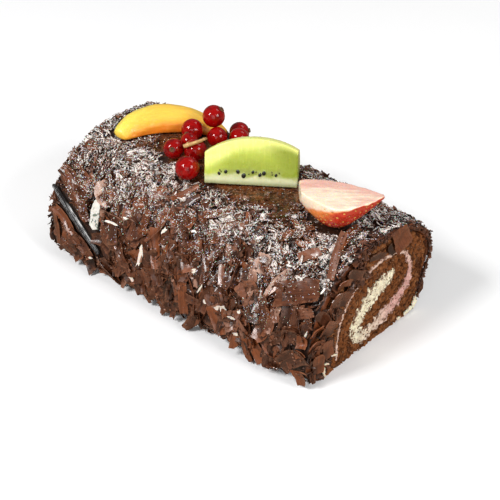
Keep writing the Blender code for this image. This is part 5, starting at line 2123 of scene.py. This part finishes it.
@dataclass
class Strawberry:
    """Half strawberry, cut face up, hull towards the middle of the roll."""

    hull: Pair = (0.0499, -0.0112)
    turn: float = 44.6
    pitch: float = 2.5
    back_tilt: float = -7.0
    seed_rows: int = 11
    seed_span: Pair = (0.0050, 0.0372)      # from the hull towards the tip
    radius: float = 0.0155
    widest_at: float = 0.012
    taper: float = 0.0285
    finish: FleshFinish = FleshFinish(
        (0.90, 0.72, 0.55), (("skin", (0.82, 0.25, 0.060)), ("red", (0.50, 0.030, 0.010)),
                             ("deep", (0.22, 0.010, 0.006)), ("blush", (0.78, 0.44, 0.36)),
                             ("edge", (0.40, 0.18, 0.18))),
        (0.95, 0.84, 0.64), 0.24, 0.30, 0.0022)

    def axes(self) -> tuple[Array, Array]:
        """Turn of the berry as a matrix, and the middle of its hull on the cut face."""
        turns = [(self.turn, "Z"), (self.pitch, "Y"), (self.back_tilt, "X")]
        return own_axes("strawberry_half", self.hull, turns, True)

    def flesh(self) -> tuple[Piece, Array, Array]:
        """Makes the flesh and skin, dimpled under each seed.

        Returns:
            The flesh piece, and the places and normals of its seeds.
        """
        mesh = rounded_copy("strawberry_half", 0.00045, 8)
        turn, foot = self.axes()
        places, normals = vertices_of(mesh), vertex_normals(mesh)
        local = (places - foot) @ turn
        x, depth = local[:, 0], -local[:, 2]
        spots = self._seed_vertices(local, normals @ turn)
        away = np.linalg.norm(places[:, None] - places[spots][None], axis=2).min(axis=1)
        dimple = np.exp(-(away / 0.00075) ** 2)
        wavy = 0.0022 * noise_at(np.stack([x * 0.35, local[:, 1], local[:, 2]], axis=1), 260.0, 2, 5.0)
        lines = noise_at(np.stack([x * 0.16, local[:, 1], 0 * x], axis=1), 620.0, 2, 9.0)
        starts = blend(0.0050, -0.0002, ease(x, -0.002, 0.015))
        skin = ease(depth + 0.4 * wavy, starts, starts + blend(0.0034, 0.0016, ease(x, 0.008, 0.026)))
        facing = (normals @ turn)[:, 2]
        on_face = ease(facing, 0.5, 0.85)
        far_side = ease(local[:, 1], 0.000, 0.0105)
        near_rim = 1 - ease(np.abs(facing - 0.55), 0.1, 0.35)
        masks = {
            "skin": skin * (1 - on_face) * ease(x + 0.5 * depth + wavy, 0.000, 0.009),
            "red": ease(skin * ease(x + 0.7 * depth + wavy, 0.002, 0.026), 0.20, 0.85) * (1 - on_face),
            "deep": ease(x, 0.0345, 0.0395) * 0.8 * (1 - 0.7 * on_face)
            + 0.55 * ease(depth, 0.0120, 0.0155) * ease(x, 0.006, 0.014),
            "blush": on_face * np.clip(0.78 * far_side + 0.62 * ease(x, 0.014, 0.034) + 0.6 * lines, 0, 1),
            "edge": near_rim * ease(local[:, 1], 0.002, 0.008) * 0.85,
            "grain": local}
        moved = places - normals * (0.00034 * dimple)[:, None]
        moved += normals * (0.00014 * noise_at(local, 240.0, 2, 4.0) * (1 - dimple))[:, None]
        finish = self.finish.build("strawberry_flesh")
        flesh = make_piece("strawberry_flesh", moved, faces_of(mesh), [finish], masks)
        return flesh, moved[spots], normals[spots]

    def _seed_vertices(self, local: Array, normals: Array) -> Array:
        """Picks the vertices of the skin where seeds sit, in staggered rows.

        Args:
            local: Vertices in the berry's own space.
            normals: Their normals there.

        Returns:
            Vertex numbers.
        """
        skin = np.flatnonzero(normals[:, 2] < 0.25)
        chosen = []
        for row in range(self.seed_rows):
            x = blend(*self.seed_span, row / (self.seed_rows - 1))
            narrow = 1 - ((x - self.widest_at) / self.taper) ** 2
            reach = self.radius * math.sqrt(max(narrow, 0.02))
            for k in range(9):
                angle = math.radians(-170 + 20 * k + (10 if row % 2 else 0))
                spot = np.array([x, math.cos(angle) * reach, math.sin(angle) * reach])
                nearest = skin[np.linalg.norm(local[skin] - spot, axis=1).argmin()]
                if local[nearest, 2] < -0.0016:
                    chosen.append(nearest)
        return np.unique(chosen)

    def pips(self, spots: Array, normals: Array) -> Piece:
        """Makes the seeds in their dimples.

        Args:
            spots: Where they sit.
            normals: Outward directions there.

        Returns:
            The seed piece.
        """
        tip = self.axes()[0][:, 0]
        unit, faces = ball_grid(8, 4)
        tones = np.random.default_rng(3).uniform(0, 1, len(spots))
        parts = []
        for spot, out, tone in zip(spots, normals, tones):
            side = np.cross(out, tip)
            side /= np.linalg.norm(side)
            down = np.cross(side, out)
            shape = unit[:, :1] * side * 0.00030 + unit[:, 2:] * down * 0.00058 + unit[:, 1:2] * out * 0.00020
            parts.append((shape + spot + out * 0.00008, faces, {"tone": np.full(len(unit), tone)}))
        finish = GrainFinish((0.80, 0.50, 0.10), (0.42, 0.16, 0.03), 0.35).build("strawberry_pips")
        verts, all_faces, masks = joined(parts)
        return make_piece("strawberry_pips", verts, all_faces, [finish], masks)

    def dress(self) -> None:
        """Builds the berry and hands it over."""
        flesh, spots, normals = self.flesh()
        hand_over(flesh, "strawberry", "strawberry_half")
        hand_over(self.pips(spots, normals), "strawberry")


@dataclass
class Peach:
    """Crescent of peach: yellow outside and above, orange on its inner, lower side."""

    centre: Pair = (-0.0302, -0.0111)
    radius: float = 0.0365
    finish: FleshFinish = FleshFinish(
        (0.82, 0.42, 0.040), (("top", (0.80, 0.49, 0.065)), ("inner", (0.72, 0.21, 0.011)),
                              ("low", (0.68, 0.17, 0.010)), ("tip", (0.82, 0.66, 0.10))),
        (0.86, 0.48, 0.045), 0.36, 0.40, 0.003, 0.25, 0.06)

    def dress(self) -> None:
        """Builds the slice and hands it over."""
        mesh = rounded_copy("peach_slice", 0.00050, 44)
        places, normals = vertices_of(mesh), vertex_normals(mesh)
        rel = places[:, :2] - np.array(self.centre)
        out = np.hypot(rel[:, 0], rel[:, 1]) - self.radius
        turn = np.arctan2(rel[:, 1], rel[:, 0])
        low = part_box("peach_slice")[0].z
        wavy = 0.0016 * noise_at(places, 170.0, 2, 6.0)
        height = places[:, 2] - (low + 0.0035)
        masks = {
            "top": ease(height + 0.5 * out + wavy, 0.001, 0.007),
            "inner": ease(-out - 0.75 * height + wavy, -0.0015, 0.0085),
            "low": ease(-height - 0.6 * out + wavy, 0.000, 0.0055) * 0.8,
            "tip": ease(-places[:, 0], 0.058, 0.070) * ease(height, -0.002, 0.004) * 0.85,
            "grain": np.stack([turn * self.radius, out, height], axis=1)}
        ridges = 0.00020 * noise_at(np.stack([turn * 0.004, out, height], axis=1), 520.0, 2, 2.0)
        places = places + normals * (ridges + 0.00022 * noise_at(places, 160.0, 2, 1.0))[:, None]
        flesh = make_piece("peach_flesh", places, faces_of(mesh), [self.finish.build("peach_flesh")], masks)
        hand_over(flesh, "peach", "peach_slice")


@dataclass
class Redcurrants:
    """The redcurrants and their stalk."""

    count: int = 10
    veins: int = 9
    columns: int = 44
    rows: int = 24
    stem_line: Table = (
        (-25.8, -9.1, 68.3), (-22.9, -7.0, 69.8), (-21.6, -2.8, 69.9), (-22.2, 1.2, 69.0), (-24.2, 5.0, 67.0))
    stem_radius: float = 0.0008
    tuft_rings: Table = (
        # dry tip, from its foot: radius and height against the berry's radius, and raggedness
        (0.17, 0.93, 0.0), (0.235, 1.00, 0.3), (0.20, 1.09, 0.6), (0.12, 1.06, 1.0), (0.07, 0.97, 1.0))

    def ball(self, node: str) -> tuple[Array, float, Array]:
        """Finds the ball in a packed berry.

        Args:
            node: Name of the solid.

        Returns:
            Its centre, its radius and the direction of its dry tip.
        """
        verts = solid_places(node)
        round_part = verts
        for _ in range(3):
            system = np.column_stack([2 * round_part, np.ones(len(round_part))])
            answer = np.linalg.lstsq(system, (round_part ** 2).sum(axis=1), rcond=None)[0]
            centre = answer[:3]
            radius = math.sqrt(answer[3] + centre @ centre)
            away = np.abs(np.linalg.norm(verts - centre, axis=1) - radius)
            round_part = verts[away < 0.04 * radius]
        farthest = np.linalg.norm(verts - centre, axis=1).argmax()
        tips = verts[np.linalg.norm(verts - verts[farthest], axis=1) < 0.6 * radius]
        tips = tips[np.linalg.norm(tips - centre, axis=1) > 1.05 * radius]
        tip = tips.mean(axis=0) - centre
        return centre, radius, tip / np.linalg.norm(tip)

    def berry(self, number: int, skin: Material, dry: Material) -> Piece:
        """Makes one berry with its dry flower tip.

        Args:
            number: Number of the berry, from 1.
            skin: Material of the ball.
            dry: Material of the tip.

        Returns:
            The berry.
        """
        node = f"redcurrant_{number:02d}"
        centre, radius, tip = self.ball(node)
        rng = np.random.default_rng(number)
        verts, faces = ball_grid(self.columns, self.rows)
        turn = np.arctan2(verts[:, 1], verts[:, 0])
        side = np.hypot(verts[:, 0], verts[:, 1])
        dip = 0.06 * np.exp(-(1 - verts[:, 2]) / 0.035) + 0.04 * np.exp(-(1 + verts[:, 2]) / 0.03)
        ball = verts * (1 - dip - 0.005 * np.cos(self.veins * turn) * side)[:, None]
        vein = np.clip(np.cos(self.veins * turn), 0, 1) ** 6 * side ** 0.5
        pole = np.exp(-((1 - verts[:, 2]) / 0.02)) * 0.8
        petals = 12
        angle = 2 * np.pi * np.arange(petals) / petals
        tuft = []
        for wide, high, ragged in self.tuft_rings:
            edge = 1 + ragged * 0.35 * (np.arange(petals) % 2) + rng.uniform(-0.1, 0.1, petals) * ragged
            tuft.append(np.stack([np.cos(angle) * wide * edge, np.sin(angle) * wide * edge,
                                  high + 0.05 * ragged * (edge - 1)], axis=1))
        number = len(verts) + np.arange(len(tuft) * petals).reshape(-1, petals)
        following = np.roll(number, -1, axis=1)
        sides = np.stack([number[:-1], following[:-1], following[1:], number[1:]], axis=-1)
        tuft_faces = sides.reshape(-1, 4).tolist() + [number[0, ::-1].tolist(), number[-1].tolist()]
        everything = np.vstack([ball] + tuft)
        lean = np.array(Vector(tip).to_track_quat("Z", "Y").to_matrix())
        placed = everything * (1.03 * radius) @ lean.T + centre
        pad = np.zeros(len(everything) - len(verts))
        masks = {label: np.concatenate([values, pad]) for label, values in (("vein", vein), ("pole", pole))}
        masks["grain"] = everything * 0.003
        made = make_piece(node + "_berry", placed, faces + tuft_faces, [skin, dry], masks, 55)
        for polygon in made.data.polygons[len(faces):]:
            polygon.material_index = 1
        return hand_over(made, "redcurrant", node)

    def stalk(self, finish: Material) -> Piece:
        """Makes the stalk with a short branch to each berry that is near it.

        Args:
            finish: Material.

        Returns:
            The stalk.
        """
        line = smooth_through(self.stem_line, 8) * MM
        share = np.linspace(0, 1, len(line))
        radii = self.stem_radius * (1.25 - 0.5 * share + 0.25 * np.exp(-((share * 6) % 1 - 0.5) ** 2 * 60))
        tubes = [(line, radii, 10, 0.03)]
        for number in range(1, self.count + 1):
            centre, radius, tip = self.ball(f"redcurrant_{number:02d}")
            foot = centre - tip * radius * 0.96
            near = line[np.linalg.norm(line - foot, axis=1).argmin()]
            if np.linalg.norm(near - foot) > 0.0045 or np.linalg.norm(near - centre) < radius:
                continue
            middle = (near + foot) / 2 - tip * 0.001
            branch = smooth_through([near, middle, foot], 5)
            away = np.linalg.norm(branch - centre, axis=1)[:, None]
            branch = branch + (branch - centre) / away * np.maximum(radius - away, 0)
            tubes.append((branch, np.full(len(branch), self.stem_radius * 0.45), 7, 0.01))
        parts = []
        for middle_line, wide, sides, grain_length in tubes:
            verts, faces, along = tube_grid(middle_line, wide, sides)
            parts.append((verts, faces, {"grain": np.column_stack([along * grain_length, verts[:, 1:]])}))
        verts, faces, masks = joined(parts)
        return hand_over(make_piece("currant_stalk", verts, faces, [finish], masks), "stem", "currant_stem")

    def dress(self) -> None:
        """Builds all berries and the stalk."""
        skin = BerrySkinFinish().build("currant_skin")
        dry = StalkFinish((0.20, 0.080, 0.026), (0.060, 0.024, 0.010), 0.85, 0.0004).build("currant_tip")
        for number in range(1, self.count + 1):
            self.berry(number, skin, dry)
        self.stalk(StalkFinish((0.66, 0.42, 0.17), (0.42, 0.22, 0.08), 0.5, 0.0003).build("currant_stalk"))


# ---- pod and shard ----

@dataclass
class VanillaPod:
    """Dried, flattened pod with lengthwise wrinkles, leaning on the front of the coat, with a painted
    highlight stripe along it.
    """

    half_width: float = 0.0015
    standoff: float = 0.0036
    stations: int = 90
    sides: int = 28
    # turn round the pod where the painted highlight stripe runs
    highlight_turn: float = 1.9
    hook: Table = ((-0.0012, 0.0004, -0.0002), (-0.0006, 0.0002, 0))

    def dress(self) -> None:
        """Builds the pod and hands it over."""
        share = np.linspace(0, 1, self.stations)
        (x0, s0), (x1, s1) = COAT.pod
        point, normal, _ = ARCH.place(blend(x0, x1, share), blend(s0, s1, share))
        line = point + normal * (self.standoff - 0.0007 * np.sin(np.pi * share))[:, None]
        line = np.vstack([line[0] + np.array(self.hook), line])
        wide = 0.45 + 0.65 * np.sin(np.pi * (0.08 + 0.84 * share)) ** 0.8
        radii = self.half_width * np.concatenate([[0.42, 0.45], wide])
        turn = 2 * np.pi * (np.arange(self.sides) + 0.5) / self.sides
        outline = np.stack([np.cos(turn), 0.72 * np.sin(turn)], axis=1)
        verts, faces, along = tube_grid(line, radii, self.sides, outline)
        body = verts[:-2].reshape(len(line), self.sides, 3)
        run = np.linspace(0, 1, len(line))[:, None]
        twist = turn[None] + 1.1 * run
        groove = np.exp(-((np.cos(twist - 0.5) - 1) / 0.05) ** 2)
        folds = 0.16 * np.cos(5 * twist) + 0.08 * np.cos(11 * twist + 4 * run) - 0.22 * groove
        uneven = 0.10 * noise_at(body.reshape(-1, 3), 300.0, 2, 1.0).reshape(body.shape[:2])
        body = line[:, None] + (body - line[:, None]) * (1 + folds * 0.8 + uneven)[..., None]
        verts = np.vstack([body.reshape(-1, 3), verts[-2:]])
        around = np.concatenate([np.tile(turn * self.half_width, len(line)), [0, 0]])
        # painted highlight: a pale stripe at one turn round the pod, along its middle stretch
        painted_highlight = np.exp(-((turn[None] - self.highlight_turn) / 0.42) ** 2)
        pale = painted_highlight * ease(run, 0.26, 0.40) * (1 - ease(run, 0.90, 1.0))
        masks = {"grain": np.column_stack([along * 0.044, around, np.zeros(len(verts))]),
                 "pale": np.concatenate([pale.ravel(), [0, 0]])}
        # the last colour is that of the painted highlight stripe
        finish = StalkFinish((0.016, 0.013, 0.013), (0.004, 0.003, 0.003), 0.32, 0.0004, 0.20,
                             (0.80, 0.80, 0.79))
        pod = make_piece("vanilla_pod_skin", verts, faces, [finish.build("vanilla_skin")], masks)
        hand_over(pod, "vanilla", "vanilla_pod")


@dataclass
class PaleShard:
    """Thin pale upright flake with grey-green marbling."""

    finish: FleshFinish = FleshFinish(
        (0.62, 0.61, 0.56), (("vein", (0.13, 0.16, 0.13)),), (0.76, 0.74, 0.70), 0.45, 0.10, 0.0008, 0.1, 0.0)

    def dress(self) -> None:
        """Builds the shard and hands it over."""
        mesh = rounded_copy("white_shard", 0.00028, 2)
        places, normals = vertices_of(mesh), vertex_normals(mesh)
        low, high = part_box("white_shard")
        up = (places[:, 2] - low.z) / (high.z - low.z)
        marble = noise_at(places, 420.0, 3, 3.0)
        masks = {"vein": ease(marble + 0.25 * (0.6 - up), 0.18, 0.42) * (1 - ease(up, 0.70, 0.9)),
                 "grain": places[:, [2, 0, 1]]}
        places = places + normals * (0.00022 * noise_at(places, 520.0, 3, 8.0))[:, None]
        finish = self.finish.build("marbled_flake")
        shard = make_piece("white_shard_flake", places, faces_of(mesh), [finish], masks)
        hand_over(shard, "white_chocolate", "white_shard")


# ---- studio ----

@dataclass
class Studio:
    """Camera at the photograph's angle, a pale floor and soft lights."""

    azimuth: float = 41.05
    elevation: float = 35.42
    roll: float = 0.34
    distance: float = 0.7595
    target: tuple[float, float, float] = (-0.00006, 0.0105, 0.0084)
    focal_px: float = 1500.0
    frame_px: float = 500.0
    sensor: float = 36.0
    floor_size: float = 4.0
    sky: float = 0.22
    floor_pale: Colour = (0.95, 0.95, 0.95)
    floor_dim: Colour = (0.93, 0.93, 0.935)
    floor_bounce: Colour = (0.38, 0.30, 0.22)   # what the floor throws back on the roll

    @staticmethod
    def toward(azimuth: float, elevation: float) -> Vector:
        """Direction at degrees round from the front and over the horizon."""
        a, e = math.radians(azimuth), math.radians(elevation)
        return Vector((math.sin(a) * math.cos(e), -math.cos(a) * math.cos(e), math.sin(e)))

    def camera(self) -> None:
        """Places the camera and makes it the scene's own."""
        a, r = math.radians(self.azimuth), math.radians(self.roll)
        back = self.toward(self.azimuth, self.elevation)
        right = Vector((math.cos(a), math.sin(a), 0))
        up = back.cross(right)
        tilted_right = right * math.cos(r) + up * math.sin(r)
        tilted_up = up * math.cos(r) - right * math.sin(r)
        data = bpy.data.cameras.new("camera")
        data.sensor_width = self.sensor
        data.lens = self.focal_px / self.frame_px * self.sensor
        data.clip_start = 0.05
        made = place_object("camera", data)
        turn = Matrix((tilted_right, tilted_up, back)).transposed().to_4x4()
        made.matrix_world = Matrix.Translation(Vector(self.target) + back * self.distance) @ turn
        bpy.context.scene.camera = made

    def floor(self) -> None:
        """Lays the pale floor."""
        made, pen, shader = new_material("pale_floor")
        tint = Effects.mottle(pen, 3.0, self.floor_pale, self.floor_dim)
        seen = pen.add("LightPath").outputs["Is Camera Ray"]
        finish_surface(pen, shader, pen.mix(seen, self.floor_bounce, tint), 0.6)
        half = self.floor_size / 2
        corners = np.array([[-half, -half, 0], [half, -half, 0], [half, half, 0], [-half, half, 0]])
        make_piece("floor", corners, [[0, 1, 2, 3]], [made])

    def lamp(self, name: str, azimuth: float, elevation: float, away: float, size: float,
             power: float) -> None:
        """Hangs a square softbox that looks at the roll.

        Args:
            name: Its name.
            azimuth: Direction that it stands in, in the camera's sense, in degrees.
            elevation: Its height over the horizon in degrees.
            away: Distance in metres.
            size: Side in metres.
            power: Power in watts.
        """
        back = self.toward(azimuth, elevation)
        data = bpy.data.lights.new(name, "AREA")
        data.shape = "SQUARE"
        data.size = size
        data.energy = power
        turn = back.to_track_quat("Z", "Y").to_matrix().to_4x4()
        place_object(name, data).matrix_world = Matrix.Translation(back * away) @ turn

    def sky_light(self) -> None:
        """Fills the world with even white light."""
        world = bpy.data.worlds.new("studio")
        world.use_nodes = True
        background = world.node_tree.nodes["Background"]
        background.inputs["Color"].default_value = (1.0, 1.0, 1.0, 1.0)
        background.inputs["Strength"].default_value = self.sky
        bpy.context.scene.world = world

    def dress(self) -> None:
        """Builds the whole studio."""
        self.camera()
        self.floor()
        self.sky_light()
        self.lamp("key_window", -16, 44, 1.3, 0.42, 15.5)
        self.lamp("side_window", 92, 34, 1.5, 0.60, 13.5)
        self.lamp("back_window", 165, 55, 1.5, 0.6, 3.5)
        self.lamp("front_fill", 35, 24, 1.6, 0.9, 5.0)
        bpy.context.scene.view_settings.view_transform = "Standard"


def main() -> None:
    """Builds the roll piece by piece."""
    logging.basicConfig(level=logging.INFO, format="%(name)s %(message)s")
    Studio().dress()
    cake = RolledCake()
    cake.dress()
    coat = ChocolateCoat().dress()
    Toppings().dress(cake, coat)
    for part in (Peach(), Kiwi(), Strawberry(), Redcurrants(), VanillaPod(), PaleShard()):
        part.dress()


if __name__ == "__main__":
    main()
